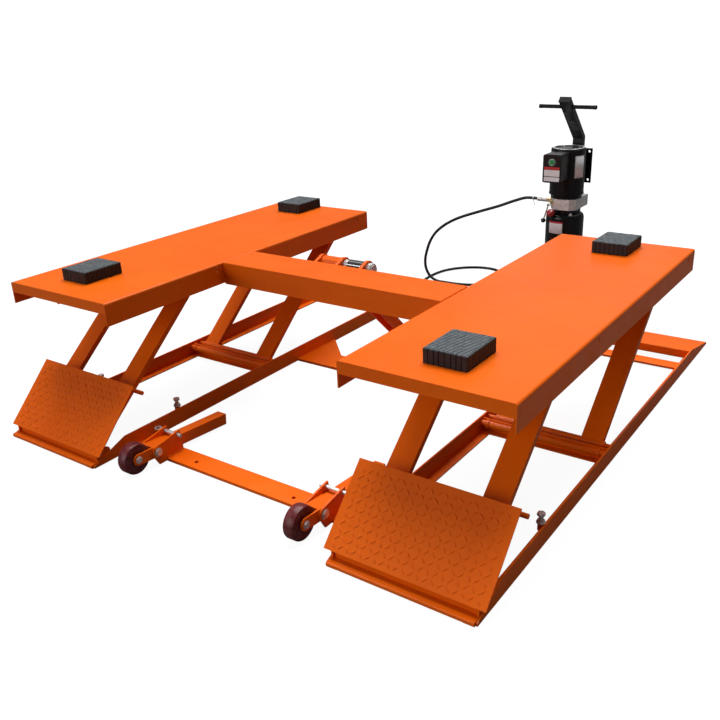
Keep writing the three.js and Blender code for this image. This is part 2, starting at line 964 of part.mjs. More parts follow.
// Plate behind the rear tie plate with the rack, the cylinder's cheeks and the hose tab
function spineSolid() {
  const front = rearTie.rear + seatGap;
  const plate = slab([spine.left, spine.right], [front, spine.rear], [0, spine.thick]);
  const lips = [
    [spine.left, spine.left + spine.lipThick],
    [spine.right - spine.lipThick, spine.right],
  ].map((x) => slab(x, [front, spine.rear], [0, spine.thick + spine.lip]));
  const rackX = around(strutMiddle, strut.width);
  const rackShape = new THREE.Shape();
  rackShape.moveTo(spine.rackFront, spine.thick / 2);
  rackShape.lineTo(spine.rackRear, spine.thick / 2);
  rackShape.lineTo(spine.rackRear, spine.rackLow);
  for (let i = spine.teeth - 1; i >= 0; i -= 1) {
    const wall = spine.toothFirst + i * spine.toothPitch;
    rackShape.lineTo(wall + spine.toothPitch, spine.rackLow);
    rackShape.lineTo(wall + spine.toothPitch / 4, spine.rackTop);
    rackShape.lineTo(wall, spine.rackTop);
    rackShape.lineTo(wall, spine.rackLow);
  }
  rackShape.lineTo(spine.rackFront, spine.rackLow);
  const cheekShape = new THREE.Shape();
  cheekShape.moveTo(cylinder.baseY - spine.cheekFoot, spine.thick / 2);
  cheekShape.lineTo(cylinder.baseY + spine.cheekFoot, spine.thick / 2);
  cheekShape.absarc(cylinder.baseY, cylinder.baseZ, spine.cheekRound, 0, Math.PI);
  const reach = cylinder.eyeWide / 2 + 2 * seatGap;
  const cheeks = [-1, 1].map((side) => {
    const near = cylinderMiddle + side * reach;
    const far = near + side * spine.cheek;
    return join(
      plateX(cheekShape, span(near, far)),
      rodX(
        cylinder.pin + shaft.recess,
        span(far - side * seatGap, far + side * spine.lipThick),
        cylinder.baseY,
        cylinder.baseZ,
        round.hex,
      ),
    );
  });
  const tab = slab(
    around(cylinderMiddle, 2 * spine.tabHalf),
    [spine.rear - spine.tab, spine.rear],
    [spine.thick / 2, spine.tabHigh],
  );
  return cut(
    join(plate, lips, plateX(rackShape, rackX), cheeks, tab),
    rodY(
      boreRadius(bulkhead.radius),
      cylinderMiddle,
      [spine.rear - spine.tab - overrun, spine.rear + overrun],
      bulkhead.z,
    ),
  );
}

function bulkheadSolid() {
  const x = cylinderMiddle;
  const back = spine.rear + seatGap;
  const hexBack = [back, back + bulkhead.hexLong];
  const nutEnd = spine.rear - spine.tab - seatGap;
  const hexFront = [nutEnd - bulkhead.hexLong, nutEnd];
  const ends = [spine.rear - spine.tab - bulkhead.before, back + bulkhead.hexLong + bulkhead.after];
  return join(
    rodY(bulkhead.radius, x, ends, bulkhead.z),
    rodY(bulkhead.hex, x, hexBack, bulkhead.z, round.hex),
    rodY(bulkhead.hex, x, hexFront, bulkhead.z, round.hex),
  );
}

function frontTieSolid() {
  const half = inner.web - seatGap;
  const holes = [-1, 1].map((side) =>
    rodZ(frontTie.hole, side * frontTie.holeX, frontTie.holeY, [-overrun, frontTie.thick + overrun]),
  );
  return cut(slab([-half, half], [frontTie.front, frontTie.rear], [0, frontTie.thick]), holes);
}

function rearTieSolid() {
  const half = inner.web - seatGap;
  return plateZ(
    outline([
      [-half, rearTie.front],
      [half, rearTie.front],
      [half, rearTie.gussetRear],
      [rearTie.gussetInner, rearTie.rear],
      [-rearTie.gussetInner, rearTie.rear],
      [-half, rearTie.gussetRear],
    ]),
    [0, rearTie.thick],
  );
}

// Two cheeks on the tie plate with the pivot bolt of the wheel arm
function wheelBracketSolid() {
  const t = transport;
  const floor = frontTie.thick + seatGap;
  const cheekShape = new THREE.Shape();
  cheekShape.moveTo(frontTie.front - seatGap, floor);
  cheekShape.lineTo(t.cheekRearY, floor);
  cheekShape.lineTo(t.cheekRearY, t.cheekRearZ);
  cheekShape.lineTo(t.cheekTopY, t.cheekTopZ);
  cheekShape.absarc(t.pivotY, t.pivotZ, t.cheekRound, Math.PI * 0.6, Math.PI * 1.05);
  cheekShape.lineTo(t.pivotY, t.cheekLow);
  cheekShape.lineTo(frontTie.front - seatGap, t.cheekLow);
  const insides = t.cheekGap;
  const cheeks = [-1, 1].map((side) =>
    join(
      plateX(
        cheekShape,
        span(t.middle + side * insides, t.middle + side * (insides + t.cheek)),
      ),
      rodX(
        t.pivotHead,
        span(
          t.middle + side * (insides + t.cheek - seatGap),
          t.middle + side * (insides + t.cheek + t.pivotHeadWide),
        ),
        t.pivotY,
        t.pivotZ,
        round.hex,
      ),
    ),
  );
  const bolt = rodX(t.pivotBolt, around(t.middle, 2 * (insides + t.cheek)), t.pivotY, t.pivotZ);
  const floorPlate = slab(
    around(t.middle, 2 * insides + t.cheek),
    [frontTie.front + seatGap, t.cheekRearY],
    [floor, floor + t.floorHigh],
  );
  const pinHole = boreX(
    lockPin.radius,
    around(t.middle, 2 * (insides + t.cheek)),
    lockPin.y,
    lockPin.z,
  );
  return cut(join(cheeks, bolt, floorPlate), pinHole);
}

// Square tube with the wheel's fork, in the frame of its pivot
function wheelArmSolid() {
  const t = transport;
  const half = t.tube / 2;
  const tube = cut(
    slab(around(t.middle, t.tube), [t.tubeStart, t.tubeEnd], [-half, half]),
    slab(
      around(t.middle, t.tube - 2 * t.tubeWall),
      [t.tubeSolid, t.tubeEnd + overrun],
      [-half + t.tubeWall, half - t.tubeWall],
    ),
  );
  const forkShape = new THREE.Shape();
  forkShape.moveTo(t.forkEnd, -half);
  forkShape.lineTo(t.forkEnd, half);
  forkShape.absarc(-t.axleAhead, 0, t.forkRound, Math.PI / 2, Math.PI * 1.5);
  const plates = [-1, 1].map((side) => {
    const near = t.middle + side * half;
    const far = near + side * t.fork;
    return join(
      plateX(forkShape, span(near, far)),
      rodX(
        t.axleHead,
        span(far - side * seatGap, far + side * t.axleHeadWide),
        -t.axleAhead,
        0,
        round.hex,
      ),
    );
  });
  const axle = rodX(t.axle, around(t.middle, t.tube + t.fork), -t.axleAhead, 0);
  return cut(
    join(tube, plates, axle),
    boreX(t.pivotBolt, around(t.middle, t.tube + 2 * t.fork), 0, 0),
  );
}

// Moulded wheel with a recessed hub, on an axis along X through its own middle
function wheelSolid(size) {
  const half = size.wide / 2;
  const web = half - size.recess;
  return turnedX(
    [
      [size.bore, -half],
      [size.hub, -half],
      [size.hub, -web],
      [size.tread, -web],
      [size.radius - size.round, -half],
      [size.radius, -half + size.round],
      [size.radius, half - size.round],
      [size.radius - size.round, half],
      [size.tread, web],
      [size.hub, web],
      [size.hub, half],
      [size.bore, half],
      [size.bore, -half],
    ],
    round.wheel,
  );
}

// Pin with a pull ring at its outer end, in the frame of its own axis
function lockPinSolid() {
  const t = transport;
  const reach = t.cheekGap + t.cheek + lockPin.beyond;
  const ring = new THREE.TorusGeometry(lockPin.ring, lockPin.ringWire, round.hex, round.small);
  ring.translate(t.middle + reach + lockPin.ring, 0, 0);
  return join(rodX(lockPin.radius, around(t.middle, 2 * reach), 0, 0), toSolid(ring));
}

// Rubber block with upright grooves round its sides
function padSolid() {
  const half = { x: pad.width / 2, y: pad.depth / 2 };
  const shape = new THREE.Shape();
  shape.absarc(half.x - pad.corner, -half.y + pad.corner, pad.corner, -Math.PI / 2, 0);
  shape.absarc(half.x - pad.corner, half.y - pad.corner, pad.corner, 0, Math.PI / 2);
  shape.absarc(-half.x + pad.corner, half.y - pad.corner, pad.corner, Math.PI / 2, Math.PI);
  shape.absarc(-half.x + pad.corner, -half.y + pad.corner, pad.corner, Math.PI, Math.PI * 1.5);
  const body = plateZ(shape, [0, pad.high], 2);
  const height = [-overrun, pad.high + overrun];
  const places = (length) =>
    Array.from(
      { length: pad.grooves },
      (_, i) => -length / 2 + ((i + 1) * length) / (pad.grooves + 1),
    );
  const grooves = [-1, 1].flatMap((side) => [
    ...places(pad.depth).map((y) =>
      slab(
        span(side * (half.x - pad.groove), side * (half.x + overrun)),
        around(y, pad.grooveWide),
        height,
      ),
    ),
    ...places(pad.width).map((x) =>
      slab(
        around(x, pad.grooveWide),
        span(side * (half.y - pad.groove), side * (half.y + overrun)),
        height,
      ),
    ),
  ]);
  return cut(body, grooves);
}

// Power unit pieces, in the frame of the motor's axis on the floor
const blockLow = tank.neckHigh + seatGap;
const blockTop = blockLow + block.high;
const mastFront = mast.y - mast.deep / 2;

function mastPath() {
  const run = mast.topY - mast.y;
  const rise = mast.topZ - mast.elbow;
  const length = Math.hypot(run, rise);
  return { run: run / length, rise: rise / length, lean: Math.atan2(-run, rise) };
}

function mastSolid() {
  const half = mast.wide / 2;
  const halfDeep = mast.deep / 2;
  const path = mastPath();
  const mitre = halfDeep * Math.tan(path.lean / 2);
  const capEnd = [mast.topY + path.run * mast.cap, mast.topZ + path.rise * mast.cap];
  const across = (point, distance) => [point[0] + path.rise * distance, point[1] - path.run * distance];
  const top = [mast.topY, mast.topZ];
  const tube = plateX(
    outline([
      [mast.y - halfDeep, 0],
      [mast.y + halfDeep, 0],
      [mast.y + halfDeep, mast.elbow + mitre],
      across(top, halfDeep),
      across(top, -halfDeep),
      [mast.y - halfDeep, mast.elbow - mitre],
    ]),
    [-half, half],
  );
  const capHalf = half + mast.capBeyond;
  const capDeep = halfDeep + mast.capBeyond;
  const cap = plateX(
    outline([
      across(top, capDeep),
      across(capEnd, capDeep),
      across(capEnd, -capDeep),
      across(top, -capDeep),
    ]),
    [-capHalf, capHalf],
  );
  const holeX = mast.plateRight - mast.plateEdge;
  const plateFace = around(mast.y, mast.plateThick);
  const plate = cut(
    slab([half - overrun, mast.plateRight], plateFace, [mast.plateLow, mast.plateHigh]),
    [mast.plateLow + mast.plateEdge, mast.plateHigh - mast.plateEdge].map((z) =>
      rodY(mast.plateHole, holeX, [plateFace[0] - overrun, plateFace[1] + overrun], z),
    ),
  );
  const foot = slab(
    [-trolley.footHalf, trolley.footHalf],
    [trolley.footFront, trolley.footRear],
    [0, trolley.foot],
  );
  const axleZ = trolley.wheel + trolley.clear;
  const bracketShape = new THREE.Shape();
  bracketShape.moveTo(mast.y, trolley.foot / 2);
  bracketShape.lineTo(mast.y + halfDeep, trolley.foot / 2);
  bracketShape.absarc(trolley.axleY, axleZ, trolley.bracketHigh, -Math.PI / 3, Math.PI / 2);
  bracketShape.lineTo(mast.y, axleZ + trolley.bracketHigh);
  const brackets = [-1, 1].map((side) =>
    plateX(bracketShape, span(side * (half - trolley.bracket / 2), side * (half + trolley.bracket / 2))),
  );
  const axle = rodX(
    trolley.axle,
    [-trolley.track - trolley.bracket, trolley.track + trolley.bracket],
    trolley.axleY,
    axleZ,
  );
  const stopRings = [-1, 1].flatMap((side) => {
    const hubs = trolley.track - trolley.wheelWide;
    return [
      rodX(
        trolley.axle + trolley.bracket,
        span(side * (hubs - seatGap - trolley.bracket), side * (hubs - seatGap)),
        trolley.axleY,
        axleZ,
      ),
      rodX(
        trolley.axle + trolley.bracket,
        span(side * (trolley.track + seatGap), side * (trolley.track + trolley.bracket)),
        trolley.axleY,
        axleZ,
      ),
    ];
  });
  const barY = mast.y + (path.run / path.rise) * (handle.z - mast.elbow);
  const bar = rodX(handle.radius, [-handle.half, handle.half], barY, handle.z);
  return join(tube, cap, plate, foot, brackets, axle, stopRings, bar);
}

function capAxis() {
  const out = Math.atan2(tank.capAhead, tank.capAcross);
  const lean = Math.sin(tank.capTilt);
  return new THREE.Vector3(Math.cos(out) * lean, Math.sin(out) * lean, Math.cos(tank.capTilt));
}

function alongCap(distance) {
  const seat = new THREE.Vector3(tank.capAcross, tank.capAhead, tank.shoulder);
  return seat.addScaledVector(capAxis(), distance).toArray();
}

function tankSolid() {
  const body = turned(
    [
      [0, tank.low],
      [tank.topRadius, tank.low],
      [tank.radius, tank.low + tank.top - tank.shoulder],
      [tank.radius, tank.shoulder],
      [tank.topRadius, tank.top],
      [tank.neck, tank.top],
      [tank.neck, tank.neckHigh],
      [0, tank.neckHigh],
    ],
    round.large,
  );
  const bossTop = tank.top - tank.shoulder + tank.capBossHigh;
  return join(body, rodBetween(tank.capBoss, alongCap(0), alongCap(bossTop)));
}

function fillerCapSolid() {
  const bossTop = tank.top - tank.shoulder + tank.capBossHigh;
  return rodBetween(tank.cap, alongCap(bossTop + seatGap), alongCap(bossTop + tank.capHigh));
}

function valveBlockSolid() {
  const c = block.chamfer;
  const rear = mastFront - seatGap;
  const body = plateZ(
    outline([
      [block.left, block.front + c],
      [block.left + c, block.front],
      [block.right - c, block.front],
      [block.right, block.front + c],
      [block.right, rear],
      [block.left, rear],
    ]),
    [blockLow, blockTop],
  );
  const stub = rodX(lever.stub, [block.left - lever.stubLong, block.left + c], lever.y, lever.z);
  return join(body, stub);
}

function motorSolid() {
  const low = blockTop + seatGap;
  return turned(
    [
      [0, low],
      [motor.foot, low],
      [motor.foot, low + motor.footHigh],
      [motor.radius, low + motor.footHigh + motor.chamfer],
      [motor.radius, motor.top - motor.chamfer],
      [motor.radius - motor.chamfer, motor.top],
      [motor.lid, motor.top],
      [motor.lid, motor.top - motor.lidDeep],
      [0, motor.top - motor.lidDeep],
    ],
    round.large,
  );
}

function roundedRectangle(x, z, corner) {
  const shape = new THREE.Shape();
  shape.absarc(x[1] - corner, z[0] + corner, corner, -Math.PI / 2, 0);
  shape.absarc(x[1] - corner, z[1] - corner, corner, 0, Math.PI / 2);
  shape.absarc(x[0] + corner, z[1] - corner, corner, Math.PI / 2, Math.PI);
  shape.absarc(x[0] + corner, z[0] + corner, corner, Math.PI, Math.PI * 1.5);
  return shape;
}

function controlBoxSolid() {
  const b = controlBox;
  const x = around(b.middle, b.width);
  const body = plateY(roundedRectangle(x, [b.low, b.high], b.corner), [b.front, b.rear], 4);
  const ring = rodY(button.ring, b.middle, [b.front - button.ringHigh, b.front + overrun], button.z);
  return cut(
    join(body, ring),
    rodZ(
      motor.radius + seatGap / Math.cos(Math.PI / round.large),
      0,
      0,
      [b.low - overrun, b.high + overrun],
      round.large,
    ),
    rodY(
      boreRadius(button.radius),
      b.middle,
      [b.front - button.ringHigh - overrun, b.front + button.travel + seatGap],
      button.z,
    ),
    rodY(
      boreRadius(button.stem),
      b.middle,
      [b.front, b.front + button.travel + button.stemLong],
      button.z,
    ),
  );
}

// Push button with its stem, in the frame of the box's front face
function buttonSolid() {
  return join(
    rodY(button.radius, 0, [-button.high, -seatGap], 0),
    rodY(button.stem, 0, [-overrun, button.stemLong - seatGap], 0),
  );
}

// Lowering lever in the frame of its pivot
function leverSolid() {
  const side = [lever.x - lever.eyeWide / 2, lever.x + lever.eyeWide / 2];
  const knob = new THREE.SphereGeometry(lever.knob, round.small, round.fine);
  knob.translate(lever.knobX, 0, lever.knobZ - lever.z);
  const armTop = [lever.x, 0, -lever.stub - boreGap - lever.arm];
  return cut(
    join(
      rodX(lever.eye, side, 0, 0),
      rodBetween(lever.arm, armTop, [lever.knobX, 0, lever.knobZ - lever.z]),
      toSolid(knob),
    ),
    boreX(lever.stub, side, 0, 0),
  );
}

function fittingSolid() {
  const start = block.left - seatGap;
  return join(
    rodX(fitting.hex, [start - fitting.hexLong, start], fitting.y, fitting.z, round.hex),
    rodX(fitting.ferrule, [fitting.ferruleEnd, start - fitting.hexLong / 2], fitting.y, fitting.z),
  );
}

function hoseSolid() {
  const start = [pump.x + fitting.ferruleEnd - seatGap, pump.y + fitting.y, fitting.z];
  const bulkheadEnd = spine.rear + bulkhead.hexLong + bulkhead.after + 2 * seatGap;
  const end = [cylinderMiddle, bulkheadEnd, bulkhead.z];
  const straight = hose.radius * 2;
  const path = new THREE.CatmullRomCurve3(
    [
      new THREE.Vector3(...start),
      new THREE.Vector3(start[0] - straight, start[1], start[2]),
      ...hosePoints.map((point) => new THREE.Vector3(...point)),
      new THREE.Vector3(end[0], end[1] + straight, end[2]),
      new THREE.Vector3(...end),
    ],
    false,
    "centripetal",
  );
  const section = new THREE.Shape();
  section.absarc(0, 0, hose.radius, 0, Math.PI * 2);
  const geometry = new THREE.ExtrudeGeometry(section, {
    steps: hose.steps,
    curveSegments: hose.sides / 2,
    bevelEnabled: false,
    extrudePath: path,
  });
  return toSolid(geometry);
}

// Assembly
const lift = new THREE.Group();
lift.position.y = -(rearTie.front + rearTie.rear) / 2;

const sides = { right: 1, left: -1 };
for (const [side, sign] of Object.entries(sides)) {
  const unit = new THREE.Group();
  unit.scale.x = sign;
  lift.add(unit);

  piece(`rail_outer_${side}`, railSolid(1), "orange", unit);
  piece(`rail_inner_${side}`, railSolid(-1), "orange", unit);
  piece(`toe_${side}`, toeSolid(), "orange", unit);
  piece(`cross_member_${side}`, crossMemberSolid(), "orange", unit);
  piece(`rear_ramp_${side}`, rampSolid(), "orange", unit);
  piece(`platform_${side}`, platformSolid(), "orange", unit);
  piece(`wheel_bracket_${side}`, wheelBracketSolid(), "orange", unit);

  const lowerEnds = {
    front: [between[0], between[1]],
    rear: [inner.web, outer.web],
  };
  const upperEnds = [inner.flange + shaft.recess, outer.flange - shaft.recess];
  const pivots = { front: link.front, rear: rearPivot };
  for (const [end, y] of Object.entries(pivots)) {
    const lower = shaftSolid(lowerEnds[end], y, link.height);
    piece(`lower_shaft_${end}_${side}`, lower, "steel", unit);
    const upper = shaftSolid(upperEnds, y + swing.run, link.height + swing.rise);
    piece(`upper_shaft_${end}_${side}`, upper, "steel", unit);
    const legs = piece(`legs_${end}_${side}`, legSolid(), "orange", unit);
    legs.position.set(0, y, link.height);
    legs.rotation.x = link.raised;
  }

  const approach = piece(`flap_${side}`, flapSolid(), "orange", unit);
  approach.position.set(0, flap.hingeY, flap.hingeZ);
  approach.rotation.x = flap.raised;

  const arm = new THREE.Group();
  arm.position.set(0, transport.pivotY, transport.pivotZ);
  arm.rotation.x = transport.slope;
  unit.add(arm);
  piece(`wheel_arm_${side}`, wheelArmSolid(), "orange", arm);
  const wheel = wheelSolid({
    radius: transport.wheel,
    wide: transport.wheelWide,
    bore: boreRadius(transport.axle, round.large),
    hub: transport.hub,
    tread: transport.tread,
    recess: transport.recess,
    round: transport.round,
  });
  const roller = piece(`wheel_${side}`, wheel, "maroon", arm);
  roller.position.set(transport.middle, -transport.axleAhead, 0);

  const pin = piece(`lock_pin_${side}`, lockPinSolid(), "steel", unit);
  pin.position.set(0, lockPin.y, lockPin.z);
}

piece("front_tie_plate", frontTieSolid(), "orange", lift);
piece("rear_tie_plate", rearTieSolid(), "orange", lift);
piece("spine", spineSolid(), "orange", lift);
piece("hose_bulkhead", bulkheadSolid(), "steel", lift);
piece("crossbeam", crossbeamSolid(), "orange", lift);
piece("beam_shaft", beamShaftSolid(), "steel", lift);

const hung = new THREE.Group();
hung.position.set(0, beamShaft.y, beamShaft.z);
lift.add(hung);
piece("safety_strut", strutSolid(), "orange", hung).rotation.x = strut.angle;
piece("cylinder_rod", rodSolid(), "chrome", hung).rotation.x = cylinder.angle;
piece("cylinder_barrel", barrelSolid(), "black", hung).rotation.x = cylinder.angle;

for (const [name, [x, y]] of Object.entries(padPlaces)) {
  const placed = piece(name, padSolid(), "rubber", lift);
  placed.position.set(x, y, deckTop + seatGap);
}

const power = new THREE.Group();
power.position.set(pump.x, pump.y, 0);
lift.add(power);
piece("pump_frame", mastSolid(), "black", power);
piece("oil_tank", tankSolid(), "black", power);
piece("filler_cap", fillerCapSolid(), "red", power);
piece("valve_block", valveBlockSolid(), "aluminium", power);
piece("pump_motor", motorSolid(), "black", power);
piece("control_box", controlBoxSolid(), "black", power);
piece("hose_fitting", fittingSolid(), "brass", power);
const startButton = piece("start_button", buttonSolid(), "green", power);
startButton.position.set(controlBox.middle, controlBox.front - button.ringHigh / 2, button.z);
const valve = piece("lowering_lever", leverSolid(), "steel", power);
valve.position.set(0, lever.y, lever.z);
for (const [side, sign] of Object.entries(sides)) {
  const wheel = wheelSolid({
    radius: trolley.wheel,
    wide: trolley.wheelWide,
    bore: boreRadius(trolley.axle, round.large),
    hub: trolley.hub,
    tread: trolley.tread,
    recess: transport.recess,
    round: transport.round,
  });
  const roller = piece(`trolley_wheel_${side}`, wheel, "black", power);
  const x = sign * (trolley.track - trolley.wheelWide / 2);
  roller.position.set(x, trolley.axleY, trolley.wheel + trolley.clear);
}
piece("hydraulic_hose", hoseSolid(), "black", lift);

const assembly = new THREE.Group();
assembly.add(lift);

export default assembly;
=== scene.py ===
"""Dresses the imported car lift: camera, light, hose, materials and the details too fine for the solids."""
import json
import math
import random

import bmesh
import bpy
from mathutils import Matrix, Vector


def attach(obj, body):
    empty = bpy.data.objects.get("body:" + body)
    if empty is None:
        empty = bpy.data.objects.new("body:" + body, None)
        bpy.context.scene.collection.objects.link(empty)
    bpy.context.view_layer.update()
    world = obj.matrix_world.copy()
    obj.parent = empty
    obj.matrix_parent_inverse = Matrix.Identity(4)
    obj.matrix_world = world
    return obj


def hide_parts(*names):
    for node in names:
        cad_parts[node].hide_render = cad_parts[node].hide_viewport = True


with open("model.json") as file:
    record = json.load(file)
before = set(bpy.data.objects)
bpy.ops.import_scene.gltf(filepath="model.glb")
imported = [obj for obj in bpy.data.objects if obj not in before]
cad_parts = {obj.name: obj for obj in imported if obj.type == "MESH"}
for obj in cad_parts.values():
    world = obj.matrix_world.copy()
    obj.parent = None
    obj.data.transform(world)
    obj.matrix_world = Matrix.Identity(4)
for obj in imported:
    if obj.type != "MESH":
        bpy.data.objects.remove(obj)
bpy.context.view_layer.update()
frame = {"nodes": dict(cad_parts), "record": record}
nodes = frame["nodes"]
SIDES = (("left", -1), ("right", 1))
X_AXIS, Y_AXIS, Z_AXIS = (1, 0, 0), (0, 1, 0), (0, 0, 1)
CORNERS = [(-1, -1), (1, -1), (1, 1), (-1, 1)]  # of any rectangle, in order

# Places that the part's source has as well, in its millimetres. Its Y starts at the platforms' front edge.

SHIFT = -0.958  # metres from that edge to the frame's own origin
UNIT_MIDDLE = 677.5  # from the lift's middle to a platform's
DECK_TOP = 518.8  # where the rubber pads sit
HINGE_Y, HINGE_Z = -92.6, 35.7  # the approach flaps' hinge
ARM_X = 331  # from the lift's middle to a wheel arm's
PIVOT_Y, PIVOT_Z = 10, 45  # the wheel arms' pivot
AXLE_AHEAD = 72  # from that pivot to a wheel's axle
ARM_LEAN = math.radians(4.1)
PUMP_X, PUMP_Y = 138, 2190  # the power unit's upright axis
PORT_Y, PORT_Z = 2170, 466  # the hose's outlet on the valve block
BOX_FRONT = -170  # the control box's front, from the power unit's axis
BUTTON_X, BUTTON_Z = -6, 664


def at(x, y, z):
    """A point given in the part's millimetres, in the frame's metres."""
    return Vector((x / 1000, y / 1000 + SHIFT, z / 1000))


def by_pump(x, y, z):
    """A point given from the power unit's axis and the floor, in millimetres."""
    return at(PUMP_X + x, PUMP_Y + y, z)


def wheel_axle(side, out=0):
    """A point on a wheel's axle, out millimetres from the middle of its arm."""
    y = PIVOT_Y - AXLE_AHEAD * math.cos(ARM_LEAN)
    z = PIVOT_Z + AXLE_AHEAD * math.sin(ARM_LEAN)
    return at(side * ARM_X + out, y, z)


# Camera, fitted to the photograph

CAMERA_PLACE = (1.568855, -2.412224, 1.28728)
CAMERA_YAW, CAMERA_PITCH, CAMERA_ROLL = -0.6295193, 0.3962758, -0.0421539
FOCAL_PIXELS, PICTURE_WIDTH, SENSOR_WIDTH = 818.552, 720, 36


def make_camera():
    yaw, pitch, roll = CAMERA_YAW, CAMERA_PITCH, CAMERA_ROLL
    ahead = Vector((math.sin(yaw) * math.cos(pitch), math.cos(yaw) * math.cos(pitch), -math.sin(pitch)))
    level = Vector((math.cos(yaw), -math.sin(yaw), 0))
    upright = level.cross(ahead)
    right = math.cos(roll) * level + math.sin(roll) * upright
    up = -math.sin(roll) * level + math.cos(roll) * upright
    data = bpy.data.cameras.new("camera")
    data.sensor_fit = "HORIZONTAL"
    data.sensor_width = SENSOR_WIDTH
    data.lens = FOCAL_PIXELS / PICTURE_WIDTH * SENSOR_WIDTH
    data.clip_start, data.clip_end = 0.05, 60
    camera = bpy.data.objects.new("camera", data)
    bpy.context.scene.collection.objects.link(camera)
    turn = Matrix((right, up, -ahead)).transposed().to_4x4()
    camera.matrix_world = Matrix.Translation(CAMERA_PLACE) @ turn
    bpy.context.scene.camera = camera


make_camera()

# Materials: each has its own grain, from noise in the object's own coordinates


class Shader:
    """A material with its Principled shader and a few shorthand calls for procedural grain."""

    def __init__(self, name, rough, metal=0.0, coat=0.0, coat_rough=0.1, specular=0.5):
        self.material = bpy.data.materials.new(name)
        self.material.use_nodes = True
        self.tree = self.material.node_tree
        self.out = self.tree.nodes["Principled BSDF"]
        self.out.inputs["Roughness"].default_value = rough
        self.out.inputs["Metallic"].default_value = metal
        self.out.inputs["Coat Weight"].default_value = coat
        self.out.inputs["Coat Roughness"].default_value = coat_rough
        self.out.inputs["Specular IOR Level"].default_value = specular
        self.place = self.tree.nodes.new("ShaderNodeTexCoord").outputs["Object"]
        self.bumps = None

    def stretched(self, scale):
        """The object's coordinates, stretched along each axis."""
        node = self.tree.nodes.new("ShaderNodeMapping")
        node.inputs["Scale"].default_value = scale
        self.tree.links.new(self.place, node.inputs["Vector"])
        return node.outputs["Vector"]

    def noise(self, scale, detail=2.0, rough=0.5, vector=None):
        node = self.tree.nodes.new("ShaderNodeTexNoise")
        node.inputs["Scale"].default_value = scale
        node.inputs["Detail"].default_value = detail
        node.inputs["Roughness"].default_value = rough
        self.tree.links.new(vector or self.place, node.inputs["Vector"])
        return node.outputs["Fac"]

    def spread(self, value, low, high, to_low, to_high):
        node = self.tree.nodes.new("ShaderNodeMapRange")
        for key, number in zip(("From Min", "From Max", "To Min", "To Max"), (low, high, to_low, to_high)):
            node.inputs[key].default_value = number
        self.tree.links.new(value, node.inputs["Value"])
        return node.outputs["Result"]

    def mix(self, factor, a, b):
        """A colour between a and b. Each is four numbers or another node's output."""
        node = self.tree.nodes.new("ShaderNodeMix")
        node.data_type = "RGBA"
        self.tree.links.new(factor, node.inputs[0])
        for socket, colour in ((node.inputs[6], a), (node.inputs[7], b)):
            if isinstance(colour, tuple):
                socket.default_value = (*colour, 1)
            else:
                self.tree.links.new(colour, socket)
        return node.outputs[2]

    def colour(self, output):
        self.tree.links.new(output, self.out.inputs["Base Color"])

    def roughness(self, output):
        self.tree.links.new(output, self.out.inputs["Roughness"])

    def bump(self, height, strength, distance):
        node = self.tree.nodes.new("ShaderNodeBump")
        node.inputs["Strength"].default_value = strength
        node.inputs["Distance"].default_value = distance
        self.tree.links.new(height, node.inputs["Height"])
        if self.bumps:
            self.tree.links.new(self.bumps, node.inputs["Normal"])
        self.bumps = node.outputs["Normal"]
        self.tree.links.new(self.bumps, self.out.inputs["Normal"])


def tint(colour, factor):
    return tuple(min(1.0, part * factor) for part in colour)


def paint(name, colour, shade, rough, coat, peel, specular):
    """Powder coat: slow colour drift, faint dust, orange peel and an uneven sheen."""
    s = Shader(name, rough, coat=coat, coat_rough=0.2, specular=specular)
    drift = s.spread(s.noise(2.2, 3), 0.35, 0.65, 0, 1)
    dust = s.spread(s.noise(38, 6, 0.62), 0.5, 0.8, 0, 0.22)
    s.colour(s.mix(dust, s.mix(drift, colour, shade), tint(colour, 0.72)))
    s.roughness(s.spread(s.noise(14, 4), 0.3, 0.7, rough - 0.05, rough + 0.08))
    s.bump(s.noise(520, 1), peel, 0.0004)
    return s.material


def zinc(name, colour, rough):
    """Plated steel: cloudy colour, fine drawing marks and a mottled sheen."""
    s = Shader(name, rough, metal=0.55)
    s.colour(s.mix(s.spread(s.noise(60, 4), 0.35, 0.7, 0, 1), colour, tint(colour, 0.8)))
    s.roughness(s.spread(s.noise(110, 5), 0.3, 0.7, rough - 0.08, rough + 0.12))
    s.bump(s.noise(900, 2, vector=s.stretched((0.12, 1, 1))), 0.12, 0.0002)
    return s.material


def rubber(name, colour, dust_and_sheen_colour, rough, grain):
    """Moulded rubber with a bloom of dust and a fine open grain. The pads' top material is lighter all over,
    which is painted sheen.
    """
    s = Shader(name, rough, specular=0.35)
    s.colour(s.mix(s.spread(s.noise(45, 6, 0.65), 0.42, 0.75, 0, 1), colour, dust_and_sheen_colour))
    s.roughness(s.spread(s.noise(80, 4), 0.3, 0.7, rough - 0.08, rough + 0.1))
    s.bump(s.noise(1400, 3), grain, 0.0004)
    return s.material


def plastic(name, colour, rough, coat):
    """Moulded plastic with a very fine spark texture."""
    s = Shader(name, rough, coat=coat)
    s.colour(s.mix(s.spread(s.noise(25, 3), 0.3, 0.7, 0, 1), colour, tint(colour, 0.82)))
    s.bump(s.noise(1700, 1), 0.06, 0.0002)
    return s.material


